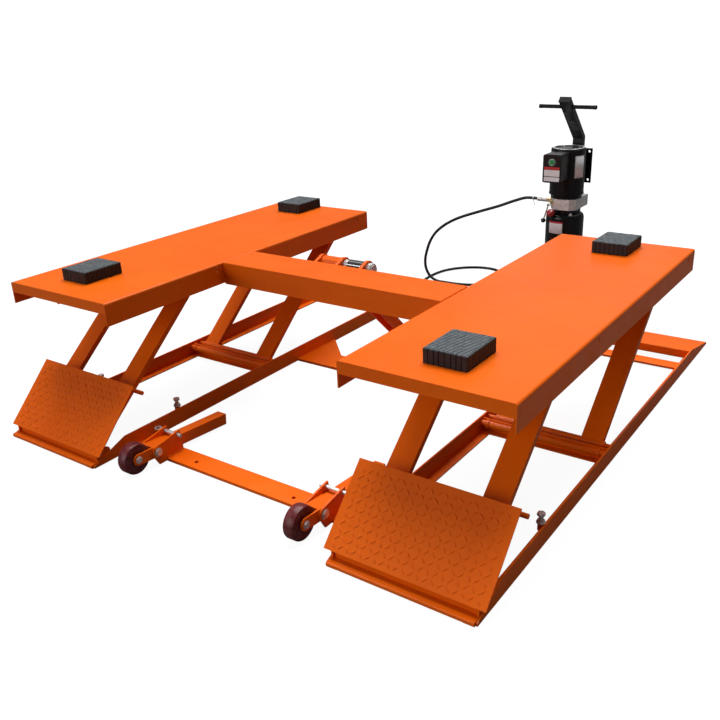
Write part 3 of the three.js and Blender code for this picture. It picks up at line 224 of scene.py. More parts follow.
ORANGE, ORANGE_DRIFT = (0.85, 0.122, 0.001), (0.88, 0.140, 0.001)
BLACK, BLACK_DRIFT = (0.004, 0.004, 0.005), (0.007, 0.007, 0.009)
materials = {
    "orange_paint": paint("orange_paint", ORANGE, ORANGE_DRIFT, 0.38, 0.08, 0.10, 0.14),
    "black_paint": paint("black_paint", BLACK, BLACK_DRIFT, 0.28, 0.22, 0.08, 0.2),
    "steel": zinc("steel", (0.72, 0.72, 0.71), 0.34),
    "chrome": zinc("chrome", (0.84, 0.85, 0.87), 0.10),
    "aluminium": zinc("aluminium", (0.80, 0.79, 0.77), 0.36),
    "brass": zinc("brass", (0.78, 0.60, 0.32), 0.30),
    "rubber": rubber("rubber", (0.012, 0.012, 0.013), (0.022, 0.021, 0.022), 0.62, 0.35),
    # The pads' tops: a lighter blue-grey than the rubber of their sides, which is painted sheen.
    "rubber_top_painted_sheen": rubber("rubber_top_painted_sheen", (0.075, 0.088, 0.098), (0.135, 0.150, 0.160), 0.50, 0.45),
    "hose": rubber("hose", (0.010, 0.010, 0.011), (0.018, 0.018, 0.019), 0.42, 0.2),
    "tyre": rubber("tyre", (0.014, 0.014, 0.014), (0.028, 0.027, 0.026), 0.66, 0.4),
    "maroon_roller": rubber("maroon_roller", (0.115, 0.006, 0.008), (0.20, 0.055, 0.060), 0.36, 0.2),
    "red_plastic": plastic("red_plastic", (0.46, 0.008, 0.008), 0.34, 0.3),
    "green_plastic": plastic("green_plastic", (0.010, 0.36, 0.10), 0.30, 0.4),
    "knob_black": plastic("knob_black", (0.012, 0.012, 0.013), 0.16, 0.6),
    "label_white": plastic("label_white", (0.97, 0.96, 0.98), 0.45, 0.1),
    "label_red": plastic("label_red", (0.60, 0.010, 0.018), 0.45, 0.1),
    "ring_grey": plastic("ring_grey", (0.55, 0.60, 0.56), 0.35, 0.2),
    "tie_white": plastic("tie_white", (0.78, 0.79, 0.80), 0.40, 0.1),
}

# Each solid takes its slot's material, apart from the legs' shafts, which are painted over

slot_of = {part["node"]: part["material_slot"] for part in frame["record"]["subparts"]}
for name, node in nodes.items():
    painted = name.startswith(("lower_shaft", "upper_shaft"))
    node.data.materials.clear()
    node.data.materials.append(materials["orange_paint" if painted else slot_of[name]])

# Building pieces


def add(name, points, faces, material, body, smooth=False, slots=None):
    """A mesh piece that rides on a body. slots gives each face's material, if there are several."""
    mesh = bpy.data.meshes.new(name)
    mesh.from_pydata([tuple(p) for p in points], [], faces)
    bm = bmesh.new()
    bm.from_mesh(mesh)
    if slots is None:
        bmesh.ops.recalc_face_normals(bm, faces=bm.faces)
    bm.to_mesh(mesh)
    bm.free()
    for label in [material] if isinstance(material, str) else material:
        mesh.materials.append(materials[label])
    if slots:
        for face, index in zip(mesh.polygons, slots):
            face.material_index = index
    for face in mesh.polygons:
        face.use_smooth = smooth
    piece = bpy.data.objects.new(name, mesh)
    bpy.context.scene.collection.objects.link(piece)
    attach(piece, body)
    return piece


def bevelled(piece, width, segments=2, angle=32):
    """Soft edges, as rolled, cast or painted metal has."""
    modifier = piece.modifiers.new("edges", "BEVEL")
    modifier.width = width
    modifier.segments = segments
    modifier.limit_method = "ANGLE"
    modifier.angle_limit = math.radians(angle)
    modifier.harden_normals = True
    return piece


class Parts:
    """Gathers several shells into one mesh piece."""

    def __init__(self):
        self.points, self.faces = [], []

    def take(self, points, faces):
        start = len(self.points)
        self.points += [Vector(p) for p in points]
        self.faces += [[start + i for i in face] for face in faces]

    def turned(self, profile, sides, origin, axis, corner):
        """A shell turned about an axis. profile is (radius, distance) pairs in metres.

        corner points to where a facet has its corner.
        """
        axis = Vector(axis).normalized()
        first = (Vector(corner) - axis * Vector(corner).dot(axis)).normalized()
        second = axis.cross(first)
        points, rings = [], []
        for radius, along in profile:
            centre = Vector(origin) + axis * along
            if radius < 1e-7:
                rings.append([len(points)])
                points.append(centre)
                continue
            rings.append(list(range(len(points), len(points) + sides)))
            for k in range(sides):
                turn = 2 * math.pi * k / sides
                points.append(centre + radius * (math.cos(turn) * first + math.sin(turn) * second))
        faces = []
        for a, b in zip(rings, rings[1:]):
            for k in range(sides):
                n = (k + 1) % sides
                if len(a) == 1 and len(b) == 1:
                    continue
                if len(a) == 1:
                    faces.append([a[0], b[k], b[n]])
                elif len(b) == 1:
                    faces.append([a[k], b[0], a[n]])
                else:
                    faces.append([a[k], b[k], b[n], a[n]])
        self.take(points, faces)

    def tube(self, path, radii, sides):
        """A closed tube along a path, with one radius a point."""
        path = [Vector(p) for p in path]
        after, before = path[1:] + path[-1:], path[:1] + path[:-1]
        tangents = [(b - a).normalized() for a, b in zip(before, after)]
        normal = tangents[0].orthogonal().normalized()
        points, faces = [], []
        for i, (point, tangent) in enumerate(zip(path, tangents)):
            normal = (normal - tangent * normal.dot(tangent)).normalized()
            side = tangent.cross(normal)
            for k in range(sides):
                turn = 2 * math.pi * k / sides
                points.append(point + radii[i] * (math.cos(turn) * normal + math.sin(turn) * side))
        for i in range(len(path) - 1):
            for k in range(sides):
                n = (k + 1) % sides
                faces.append([i * sides + k, (i + 1) * sides + k, (i + 1) * sides + n, i * sides + n])
        faces.append(list(range(sides)))
        faces.append([len(points) - 1 - k for k in range(sides)])
        self.take(points, faces)

    def bead(self, start, end, size, seed):
        """A weld bead between two points, with its rippled scale."""
        start, end = Vector(start), Vector(end)
        ripple = 0.0022
        count = max(6, round((end - start).length / ripple))
        chance = random.Random(seed)
        path = [start.lerp(end, i / count) for i in range(count + 1)]
        radii = []
        for i in range(count + 1):
            fade = min(1, 0.35 + 0.3 * min(i, count - i))
            radii.append(size * fade * (1 + 0.13 * math.sin(i * 2.1) + 0.08 * chance.uniform(-1, 1)))
        self.tube(path, radii, 7)

    def hexagon(self, radius, origin, axis, height, corner, chamfer=0.0009):
        """A bolt head or nut with its turned chamfer."""
        rim = [(radius, height - chamfer), (radius - 2 * chamfer, height)]
        self.turned([(0, 0), (radius, 0), *rim, (0, height)], 6, origin, axis, corner)

    def disc(self, radius, origin, axis, height, sides=20, corner=(0, 0.01, 1)):
        """A flat round shell: a washer, or the end of a pin."""
        self.turned([(0, 0), (radius, 0), (radius, height), (0, height)], sides, origin, axis, corner)

    def made(self, name, material, body, smooth=False, slot=None):
        return add(name, self.points, self.faces, material, body, smooth)


def turned_piece(name, material, body, slot, profile, sides, origin, axis, corner, smooth=False):
    """A piece of one turned shell."""
    shell = Parts()
    shell.turned(profile, sides, origin, axis, corner)
    return shell.made(name, material, body, smooth, slot)


def side_faces(rings, sides):
    """Faces between rings of points that follow each other."""
    faces = []
    for start in range(0, (rings - 1) * sides, sides):
        for k in range(sides):
            n = (k + 1) % sides
            faces.append([start + k, start + n, start + sides + n, start + sides + k])
    return faces


# The hose: from the pump's fitting over the floor to the bulkhead behind the spine plate

HOSE_DIAMETER = 0.014
HOSE_ROUTE = [
    (7.7, PORT_Y, PORT_Z),
    (-6.3, PORT_Y, PORT_Z),
    (-52, 2169, 464),
    (-110, 2166, 445),
    (-190, 2161, 413),
    (-286, 2152, 380),
    (-380, 2142, 346),
    (-432, 2131, 322),
    (-480, 2122, 291),
    (-518, 2113, 255),
    (-545, 2106, 210),
    (-561, 2100, 160),
    (-569, 2095, 110),
    (-562, 2092, 66),
    (-537, 2090, 29),
    (-497, 2089, 10),
    (-440, 2089, 8),
    (-365, 2094, 8),
    (-290, 2122, 8),
    (-240, 2190, 8),
    (-228, 2285, 8),
    (-262, 2368, 8),
    (-326, 2409, 8),
    (-392, 2413, 8),
    (-458, 2387, 8),
    (-516, 2336, 8),
    (-553, 2270, 8),
    (-567, 2195, 8),
    (-566, 2110, 8),
    (-550, 2030, 8),
    (-505, 1960, 8),
    (-430, 1890, 8),
    (-330, 1825, 8),
    (-220, 1780, 8),
    (-125, 1757, 8),
    (-70, 1739, 10),
    (-32, 1709, 15),
    (-8.2, 1669.5, 22.4),
    (-3.35, 1635.6, 25),
    (-3.35, 1621.6, 25),
]


def flowing(points, count):
    """Centripetal Catmull-Rom points through a route, as the solid's sweep has."""
    ends = [2 * points[0] - points[1], *points, 2 * points[-1] - points[-2]]
    made = []
    for a, b, c, d in zip(ends, ends[1:], ends[2:], ends[3:]):
        t1 = (b - a).length ** 0.5
        t2 = t1 + (c - b).length ** 0.5
        t3 = t2 + (d - c).length ** 0.5
        for k in range(count):
            t = t1 + (t2 - t1) * k / count
            ab = a * ((t1 - t) / t1) + b * (t / t1)
            bc = b * ((t2 - t) / (t2 - t1)) + c * ((t - t1) / (t2 - t1))
            cd = c * ((t3 - t) / (t3 - t2)) + d * ((t - t2) / (t3 - t2))
            abc = ab * ((t2 - t) / t2) + bc * (t / t2)
            bcd = bc * ((t3 - t) / (t3 - t1)) + cd * ((t - t1) / (t3 - t1))
            made.append(abc * ((t2 - t) / (t2 - t1)) + bcd * ((t - t1) / (t2 - t1)))
    made.append(points[-1].copy())
    return made


def make_hose():
    path = flowing([at(*point) for point in HOSE_ROUTE], 10)
    data = bpy.data.curves.new("pressure_hose", "CURVE")
    data.dimensions = "3D"
    data.bevel_depth = HOSE_DIAMETER / 2
    data.bevel_resolution = 6
    data.use_fill_caps = True
    spline = data.splines.new("POLY")
    spline.points.add(len(path) - 1)
    for slot, point in zip(spline.points, path):
        slot.co = (*point, 1)
    spline.use_smooth = True
    hose = bpy.data.objects.new("pressure_hose", data)
    bpy.context.scene.collection.objects.link(hose)
    data.materials.append(materials["hose"])
    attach(hose, "base")
    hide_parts("hydraulic_hose")


make_hose()

# Soft edges on the CAD pieces

PAINTED_EDGE, BARE_EDGE = 0.0011, 0.0006
for name, node in nodes.items():
    if name != "hydraulic_hose":
        bevelled(node, PAINTED_EDGE if slot_of[name] in ("orange_paint", "black_paint") else BARE_EDGE)

# Chequer plate on the approach flaps: raised lozenges that lie crosswise by turns

FLAP_TURN = math.radians(45.7)
FLAP_TOP = 12.5
TREAD_PITCH, TREAD_WIDTH, TREAD_LENGTH, TREAD_START = 20.6, 452, 238, -1
LOZENGE_LONG, LOZENGE_WIDE, LOZENGE_HIGH, LOZENGE_SIDES = 9.6, 3.1, 1.9, 12


def on_flap(side, x, along, above):
    """A point in the flap's own frame: across, along from the hinge, and above its axis."""
    y = along * math.cos(FLAP_TURN) - above * math.sin(FLAP_TURN)
    z = along * math.sin(FLAP_TURN) + above * math.cos(FLAP_TURN)
    return at(side * UNIT_MIDDLE + x, HINGE_Y + y, HINGE_Z + z)


def lozenge(side, x, along, turn):
    """The points of one lozenge, in three rings. The lowest ring is sunk into the plate."""
    rings = ((1.0, 1.0, -0.2), (0.82, 0.74, LOZENGE_HIGH * 0.72), (0.53, 0.45, LOZENGE_HIGH))
    c, s = math.cos(turn), math.sin(turn)
    points = []
    for long, wide, level in rings:
        for k in range(LOZENGE_SIDES):
            a = 2 * math.pi * k / LOZENGE_SIDES
            u = LOZENGE_LONG * math.cos(a) * long
            v = LOZENGE_WIDE * math.sin(a) * abs(math.sin(a)) ** 0.25 * wide
            points.append(on_flap(side, x + u * c - v * s, along + u * s + v * c, FLAP_TOP + level))
    return points


def make_tread(label, side):
    parts = Parts()
    columns = int(TREAD_WIDTH / TREAD_PITCH)
    faces = side_faces(3, LOZENGE_SIDES) + [list(range(2 * LOZENGE_SIDES, 3 * LOZENGE_SIDES))]
    for i in range(columns):
        for j in range(int(TREAD_LENGTH / TREAD_PITCH)):
            x = (i - (columns - 1) / 2) * TREAD_PITCH
            along = TREAD_START + TREAD_PITCH / 2 + j * TREAD_PITCH
            turn = math.pi / 4 if (i + j) % 2 else -math.pi / 4
            parts.take(lozenge(side, x, along, turn), faces)
    parts.made(f"flap_tread_{label}", "orange_paint", f"flap_{label}", smooth=True, slot="orange_paint")


for label, side in SIDES:
    make_tread(label, side)

# Rubber pads: grooved all round, with a top scored into tiles

PAD_HALF_X, PAD_HALF_Y, PAD_HIGH = 0.061, 0.075, 0.040
PAD_SCORE = 0.0014
PAD_TOP = PAD_HIGH - PAD_SCORE
GROOVE_WIDE, GROOVE_DEEP, GROOVE_DRIFT = 0.0024, 0.0022, 0.0011
GROOVES = [7, 12, 7, 12]
TILE_LONG, TILE_WIDE, TILE_GAP, TILE_LEAN = 0.0345, 0.0122, 0.0021, math.radians(-12)
TILE_MARGIN, TILE_LEAST = 0.0045, 0.0035
PADS = {
    "lifting_pad_front_right": (688, 166),
    "lifting_pad_rear_right": (688, 1276),
    "lifting_pad_front_left": (-715, 178),
    "lifting_pad_rear_left": (-736, 1305),
}


def pad_outline(chance):
    """The pad's outline, with grooves at slightly uneven steps."""
    half = GROOVE_WIDE / 2
    third = GROOVE_WIDE / 3
    made = []
    for (ax, ay), (bx, by), count in zip(CORNERS, CORNERS[1:] + CORNERS[:1], GROOVES):
        start = Vector((ax * PAD_HALF_X, ay * PAD_HALF_Y, 0))
        end = Vector((bx * PAD_HALF_X, by * PAD_HALF_Y, 0))
        along = (end - start).normalized()
        inward = Vector((-along.y, along.x, 0))
        length = (end - start).length
        made.append(start + along * 0.003)
        for i in range(count):
            centre = length * (i + 1) / (count + 1) + chance.uniform(-GROOVE_DRIFT, GROOVE_DRIFT)
            for offset, depth in ((-half, 0), (-third, GROOVE_DEEP), (third, GROOVE_DEEP), (half, 0)):
                made.append(start + along * (centre + offset) + inward * depth)
        made.append(end - along * 0.003)
    return made


def clipped(shape, half_x, half_y):
    """A flat shape cut to a rectangle about the origin."""
    for axis, limit, sign in ((0, half_x, 1), (0, half_x, -1), (1, half_y, 1), (1, half_y, -1)):
        made = []
        for a, b in zip(shape, shape[1:] + shape[:1]):
            da, db = limit - sign * a[axis], limit - sign * b[axis]
            if da >= 0:
                made.append(a)
            if (da > 0) != (db > 0):
                made.append(a.lerp(b, da / (da - db)))
        shape = made
        if len(shape) < 3:
            return []
    return shape


def pad_tile(row, step):
    """The corners of a tile in the pad's top, and its middle. There are none where it would be a sliver."""
    c, s = math.cos(TILE_LEAN), math.sin(TILE_LEAN)
    middle = (row * TILE_WIDE, (step + 0.5 * (row % 2)) * TILE_LONG)
    tile = []
    for u, v in CORNERS:
        x = middle[0] + u * (TILE_WIDE - TILE_GAP) / 2
        y = middle[1] + v * (TILE_LONG - TILE_GAP) / 2
        tile.append(Vector((x * c - y * s, x * s + y * c, 0)))
    tile = clipped(tile, PAD_HALF_X - TILE_MARGIN, PAD_HALF_Y - TILE_MARGIN)
    if not tile:
        return [], None
    centre = sum(tile, Vector()) / len(tile)
    if min((p - centre).length for p in tile) < TILE_LEAST:
        return [], None
    return tile, centre


def make_pad(name, place, seed):
    """A pad's grooved block with raised tiles on it. Slot 0 is its sides, and slot 1 its top, in the lighter
    rubber that paints on a sheen.
    """
    chance = random.Random(seed)
    base = at(*place, DECK_TOP)
    outline = pad_outline(chance)
    count = len(outline)
    levels = ((0.985, 0), (1.0, 0.0012), (1.0, PAD_TOP - 0.0016), (0.972, PAD_TOP))
    points = [base + Vector((p.x * scale, p.y * scale, height)) for scale, height in levels for p in outline]
    faces = side_faces(len(levels), count) + [[count - 1 - k for k in range(count)]]
    slots = [0] * len(faces)
    faces.append([(len(levels) - 1) * count + k for k in range(count)])
    slots.append(1)
    for row in range(-8, 9):
        for step in range(-4, 5):
            tile, centre = pad_tile(row, step)
            if not tile:
                continue
            start, size = len(points), len(tile)
            lift = PAD_SCORE * chance.uniform(0.7, 1.0)
            for height in (PAD_TOP - 0.0003, PAD_TOP + lift * 0.6):
                points += [base + p + Vector((0, 0, height)) for p in tile]
            crown = Vector((0, 0, PAD_TOP + lift))
            points += [base + centre + (p - centre) * 0.9 + crown for p in tile]
            shell = side_faces(3, size) + [[2 * size + k for k in range(size)]]
            faces += [[start + k for k in face] for face in shell]
            slots += [1] * len(shell)
    # Sides in dark rubber; the top and its tiles in the lighter rubber, a painted sheen.
    both = ["rubber", "rubber_top_painted_sheen"]
    piece = add(f"{name}_rubber", points, faces, both, "deck", slots=slots)
    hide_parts(name)


for seed, (name, place) in enumerate(PADS.items(), 40):
    make_pad(name, place, seed)

# Zinc bolts over the heads that are part of the painted solids

STOP_Y, STOP_XS = 257, (474.75, 880.25)
STOP_BOSS_TOP, STOP_NUT, STOP_HEAD = 62, 62.4, 83.2
HINGE_BOLTS = ((466, -1), (889, 1))
CHEEK_FACE, FORK_FACE = 31.9, 24.9  # from a wheel arm's middle


def make_stop_bolts(label, side):
    heads = Parts()
    for x in STOP_XS:
        spot = (side * x, STOP_Y)
        heads.disc(0.0062, at(*spot, STOP_BOSS_TOP), Z_AXIS, 0.0212, 14, Y_AXIS)
        heads.disc(0.0128, at(*spot, STOP_BOSS_TOP), Z_AXIS, 0.0012)
        heads.hexagon(0.0113, at(*spot, STOP_NUT), Z_AXIS, 0.0078, Y_AXIS)
        heads.hexagon(0.0113, at(*spot, STOP_HEAD), Z_AXIS, 0.00815, Y_AXIS)
    heads.made(f"stop_bolts_{label}", "steel", "base", slot="steel")


def make_hinge_bolts(label, side):
    hinge = Parts()
    for x, out in HINGE_BOLTS:
        hinge.hexagon(0.0083, at(side * x, HINGE_Y, HINGE_Z), (side * out, 0, 0), 0.0042, Z_AXIS)
    hinge.made(f"hinge_bolts_{label}", "steel", "base", slot="steel")


def make_pivot_bolts(label, side):
    pivots = Parts()
    for out in (-1, 1):
        spot = at(side * ARM_X + out * CHEEK_FACE, PIVOT_Y, PIVOT_Z)
        pivots.hexagon(0.0133, spot, (out, 0, 0), 0.0064, Z_AXIS, 0.0012)
        pivots.disc(0.0152, spot, (out, 0, 0), 0.0016)
    pivots.made(f"pivot_bolts_{label}", "steel", "base", slot="steel")


def make_axle_bolts(label, side):
    axle = Parts()
    for out in (-1, 1):
        spot = wheel_axle(side, out * FORK_FACE)
        axle.hexagon(0.0104, spot, (out, 0, 0), 0.0053, (0, math.sin(ARM_LEAN), math.cos(ARM_LEAN)))
        axle.disc(0.0121, spot, (out, 0, 0), 0.0012)
    axle.made(f"axle_bolts_{label}", "steel", f"wheel_arm_{label}", slot="steel")


for label, side in SIDES:
    make_stop_bolts(label, side)
    make_hinge_bolts(label, side)
    make_pivot_bolts(label, side)
    make_axle_bolts(label, side)

# Smooth treads round the wheels, which are many-sided in the solids

TREAD_RADIUS, TREAD_HALF, TREAD_INNER = 50.1, 18, 33.6


def make_wheel_tread(label, side):
    """A closed tread with rounded shoulders."""
    edge = [
        (TREAD_RADIUS, TREAD_HALF - 5),
        (TREAD_RADIUS - 1.7, TREAD_HALF - 1.2),
        (TREAD_RADIUS - 4.9, TREAD_HALF + 0.2),
        (TREAD_INNER, TREAD_HALF - 2.8),
    ]
    shape = [(radius, -x) for radius, x in reversed(edge)] + edge
    profile = [(radius / 1000, x / 1000) for radius, x in [*shape, shape[0]]]
    body = f"wheel_{label}"
    piece = turned_piece(
        f"wheel_tread_{label}",
        "maroon_roller",
        body,
        slot_of[body],
        profile,
        64,
        wheel_axle(side),
        X_AXIS,
        Z_AXIS,
        smooth=True,
    )
    bevelled(piece, 0.0004, 1, 40)


for label, side in SIDES:
    make_wheel_tread(label, side)

# Weld beads

CHEEK_WELD_OUT, CHEEK_WELD_YS, CHEEK_WELD_Z = 33, (42, 110), 11.4
RAIL_XS = ((468, 1), (887, -1))  # each rail, and the way to the platform's middle
TOE_WELD_IN, TOE_WELD_START, TOE_WELD_END = 6.5, (-60, 12.8), (-92, 13.6)
TIE_WELD_X, TIE_WELD_YS, TIE_WELD_Z = 459.5, (42, 116), 9.4
EAR_LEFTS, EAR_WELD_Y, EAR_WELD_Z = (-157, -67, 30), 668.2, (452, 474)
BEAM_WELD_X, BEAM_WELD_YS, BEAM_WELD_Z = 435.6, (514.5, 668.5), (441, 474)
SEAM_HALF, SEAM_Y, SEAM_Z = 430, 640, 518.1


def make_base_welds(label, side):
    welds = Parts()
    for out in (-1, 1):
        x = side * ARM_X + out * CHEEK_WELD_OUT
        start, end = [at(x, y, CHEEK_WELD_Z) for y in CHEEK_WELD_YS]
        welds.bead(start, end, 0.0026, 7 + out)
    for rail, inward in RAIL_XS:
        x = side * (rail + inward * TOE_WELD_IN)
        welds.bead(at(x, *TOE_WELD_START), at(x, *TOE_WELD_END), 0.0024, rail)
    start, end = [at(side * TIE_WELD_X, y, TIE_WELD_Z) for y in TIE_WELD_YS]
    welds.bead(start, end, 0.0018, 31)
    welds.made(f"welds_{label}", "orange_paint", "base", smooth=True, slot="orange_paint")


def make_ear_welds():
    welds = Parts()
    low, high = EAR_WELD_Z
    for seed, left in enumerate(EAR_LEFTS, 60):
        for x in (left - 0.8, left + 12.8):
            welds.bead(at(x, EAR_WELD_Y, low), at(x, EAR_WELD_Y, high), 0.0026, seed)
    welds.made("ear_welds", "orange_paint", "deck", smooth=True, slot="orange_paint")


def make_beam_welds():
    welds = Parts()
    low, high = BEAM_WELD_Z
    for _, side in SIDES:
        for y in BEAM_WELD_YS:
            x = side * BEAM_WELD_X
            welds.bead(at(x, y, low), at(x, y, high), 0.0024, int(y) + side)
    welds.made("beam_welds", "orange_paint", "deck", smooth=True, slot="orange_paint")


for label, side in SIDES:
    make_base_welds(label, side)
make_ear_welds()
make_beam_welds()

# The black sleeve of the cylinder's head on the beam's shaft, and the weld along the beam's top

SLEEVE_INNER, SLEEVE_OUTER, SLEEVE_LONG = 0.0130, 0.0247, 0.0654
SLEEVE_START = (-36, 715, 505)
turned_piece(
    "cylinder_head_sleeve",
    "rubber",
    "cylinder_rod",
    "rubber",
    [
        (SLEEVE_INNER, 0),
        (SLEEVE_OUTER, 0),
        (SLEEVE_OUTER, SLEEVE_LONG),
        (SLEEVE_INNER, SLEEVE_LONG),
        (SLEEVE_INNER, 0),
    ],
    40,
    at(*SLEEVE_START),
    X_AXIS,
    Z_AXIS,
)
seam = Parts()
seam.bead(at(-SEAM_HALF, SEAM_Y, SEAM_Z), at(SEAM_HALF, SEAM_Y, SEAM_Z), 0.0011, 88)
seam.made("beam_seam", "orange_paint", "deck", smooth=True, slot="orange_paint")

# The power unit's tank and motor: smooth shells and blank stickers

DOME_RADIUS, DOME_Z, DOME_WIDE, DOME_HIGH = 72.4, 388, 14, 20.4
DOME = [
    (DOME_RADIUS + DOME_WIDE * math.cos(math.radians(t)), DOME_Z + DOME_HIGH * math.sin(math.radians(t)))
    for t in range(0, 91, 10)
]
TANK_FOOT = [(72.4, 191.6), (86.4, 206)]
TANK_INSIDE = [(58, 408.6), (58, 404), (80, 384), (80, 210), (66, 196), (72.4, 191.6)]
MOTOR_OUTSIDE = [(71, 507.3), (77.4, 511.8), (77.4, 701.2), (72.3, 706.3), (66, 706.3)]
MOTOR_INSIDE = [(66, 702), (72, 698), (72, 512), (71, 507.3)]


def make_sleeve(name, profile):
    """A smooth painted shell round the tank or motor. profile is (radius, height) pairs in millimetres."""
    shape = [(radius / 1000, height / 1000) for radius, height in profile]
    piece = turned_piece(
        name, "black_paint", "base", "black_paint", shape, 96, by_pump(0, 0, 0), Z_AXIS, Y_AXIS, smooth=True
    )
    bevelled(piece, 0.0006, 2, 28)


def make_curved_label(name, radius, middle, width, z, header):
    """A blank white sticker round a cylinder, with a red head. Its angles are degrees from -Y towards +X."""
    steps = 14
    levels = [z[0], z[1] - header, z[1]] if header else z
    points = []
    for level in levels:
        for i in range(steps + 1):
            turn = math.radians(middle - width / 2 + width * i / steps)
            points.append(by_pump(radius * math.sin(turn), -radius * math.cos(turn), level))
    faces, slots = [], []
    for row in range(len(levels) - 1):
        for i in range(steps):
            a = row * (steps + 1) + i
            faces.append([a, a + 1, a + steps + 2, a + steps + 1])
            slots.append(row)
    piece = add(name, points, faces, ["label_white", "label_red"], "base", True, slots)
    piece.modifiers.new("thickness", "SOLIDIFY").thickness = 0.0003


make_sleeve("tank_sleeve", [*TANK_FOOT, *DOME, *TANK_INSIDE])
make_sleeve("motor_sleeve", [*MOTOR_OUTSIDE, *MOTOR_INSIDE])
make_curved_label("tank_label", 86.5, -8, 47, (324, 380), 8)
make_curved_label("motor_label", 77.5, 65, 39, (578, 676), 0)

# The control box's blank stickers and its start button

LABEL_X, LABEL_THICK, LABEL_CORNER = (-42, 30), 0.35, 1.6


def make_flat_label(name, material, z):
    """A blank sticker with rounded corners on the control box's front."""
    points = []
    for cx, cz, start in (
        (LABEL_X[1] - LABEL_CORNER, z[0] + LABEL_CORNER, -90),
        (LABEL_X[1] - LABEL_CORNER, z[1] - LABEL_CORNER, 0),
        (LABEL_X[0] + LABEL_CORNER, z[1] - LABEL_CORNER, 90),
        (LABEL_X[0] + LABEL_CORNER, z[0] + LABEL_CORNER, 180),
    ):
        for k in range(5):
            turn = math.radians(start + 22.5 * k)
            points.append((cx + LABEL_CORNER * math.cos(turn), cz + LABEL_CORNER * math.sin(turn)))
    count = len(points)
    shell = [by_pump(x, y, z) for y in (BOX_FRONT, BOX_FRONT - LABEL_THICK) for x, z in points]
    faces = side_faces(2, count) + [list(range(count)), [2 * count - 1 - k for k in range(count)]]
    add(name, shell, faces, material, "base")


make_flat_label("box_label_head", "label_red", (630.5, 643))
make_flat_label("box_label_upper", "label_white", (602, 629.8))
make_flat_label("box_label_lower", "label_white", (580, 599))

RING_INNER, RING_OUTER = 0.0118, 0.0156
turned_piece(
    "button_ring",
    "ring_grey",
    "base",
    "green_plastic",
    [
        (RING_INNER, 0),
        (RING_OUTER, 0),
        (RING_OUTER, 0.0024),
        (RING_OUTER - 0.001, 0.0032),
        (RING_INNER + 0.0006, 0.0032),
        (RING_INNER, 0.0026),
        (RING_INNER, 0),
    ],
    28,
    by_pump(BUTTON_X, BOX_FRONT, BUTTON_Z),
    (0, -1, 0),
    Z_AXIS,
    smooth=True,
)
turned_piece(
    "button_cap",
    "green_plastic",
    "start_button",
    "green_plastic",
    [(0, 0.0016), (0.0108, 0.0016), (0.0111, 0.0022), (0.0111, 0.0063), (0.0104, 0.0074), (0, 0.0076)],
    28,
    by_pump(BUTTON_X, BOX_FRONT + 0.2, BUTTON_Z),
    (0, -1, 0),
    Z_AXIS,
)

# Rims, flange and small screws of the power unit

MOTOR_TOP, FLANGE_Z = 706, 498
turned_piece(
    "motor_lid_rim",
    "steel",
    "base",
    "black_paint",
    [
        (0.0622, -0.0028),
        (0.0622, 0.0006),
        (0.0640, 0.0014),
        (0.0706, 0.0014),
        (0.0722, 0.0004),
        (0.0722, -0.0012),
    ],
    48,
    by_pump(0, 0, MOTOR_TOP),
    Z_AXIS,
    Y_AXIS,
    smooth=True,
)


def make_lid_screws():
    screws = Parts()
    reach = 52
    head = [(0, 0), (0.0042, 0), (0.0042, 0.0022), (0.0034, 0.003), (0, 0.003)]
    for k in range(4):
        turn = math.radians(45 + 90 * k)
        spot = by_pump(reach * math.cos(turn), reach * math.sin(turn), MOTOR_TOP - 3)
        screws.turned(head, 14, spot, Z_AXIS, Y_AXIS)
    screws.made("lid_screws", "steel", "base", slot="steel")


make_lid_screws()
turned_piece(
    "motor_flange",
    "black_paint",
    "base",
    "black_paint",
    [(0.0700, 0), (0.0782, 0), (0.0790, 0.0012), (0.0790, 0.0058), (0.0782, 0.0070), (0.0700, 0.0070)],
    48,
    by_pump(0, 0, FLANGE_Z),
    Z_AXIS,
    Y_AXIS,
)

# Valve block: socket screws in front and a brass port at its corner

BLOCK_SCREWS = ((-20, 455, 0.0046), (2, 452, 0.0052), (26, 455, 0.0046))
BLOCK_FRONT = -64
PORT_PLACE, PORT_AXIS = (-43, -51, 459), (-1, -1, 0)


def make_block_screws():
    """Socket screws, each with a hollow in its head."""
    block = Parts()
    for x, z, r in BLOCK_SCREWS:
        hollow = r * 0.55
        head = [(0, 0.0002), (hollow, 0.0002), (hollow, 0.0024), (r, 0.0024), (r, 0), (0, 0)]
        block.turned(head, 18, by_pump(x, BLOCK_FRONT, z), (0, -1, 0), Z_AXIS)
    block.made("block_screws", "steel", "base", slot="steel")


def make_block_port():
    port = Parts()
    spot = by_pump(*PORT_PLACE)
    port.hexagon(0.0092, spot, PORT_AXIS, 0.006, Z_AXIS)
    port.turned([(0, 0.006), (0.006, 0.006), (0.006, 0.012), (0, 0.013)], 16, spot, PORT_AXIS, Z_AXIS)
    port.made("block_port", "brass", "base", slot="brass")


make_block_screws()
make_block_port()

# The hose's crimped ferrule, and the cable tie round it with its curled tail

CRIMPS, CRIMP_PITCH = 6, 0.0078
FERRULE_OUTER, FERRULE_NECK, FERRULE_END = 0.0118, 0.0109, 0.0494
FERRULE_X, TIE_X = 8, -16
TIE_INNER, TIE_OUTER, TIE_WIDE, TAIL_RADIUS = 0.0072, 0.0086, 0.0048, 0.0013


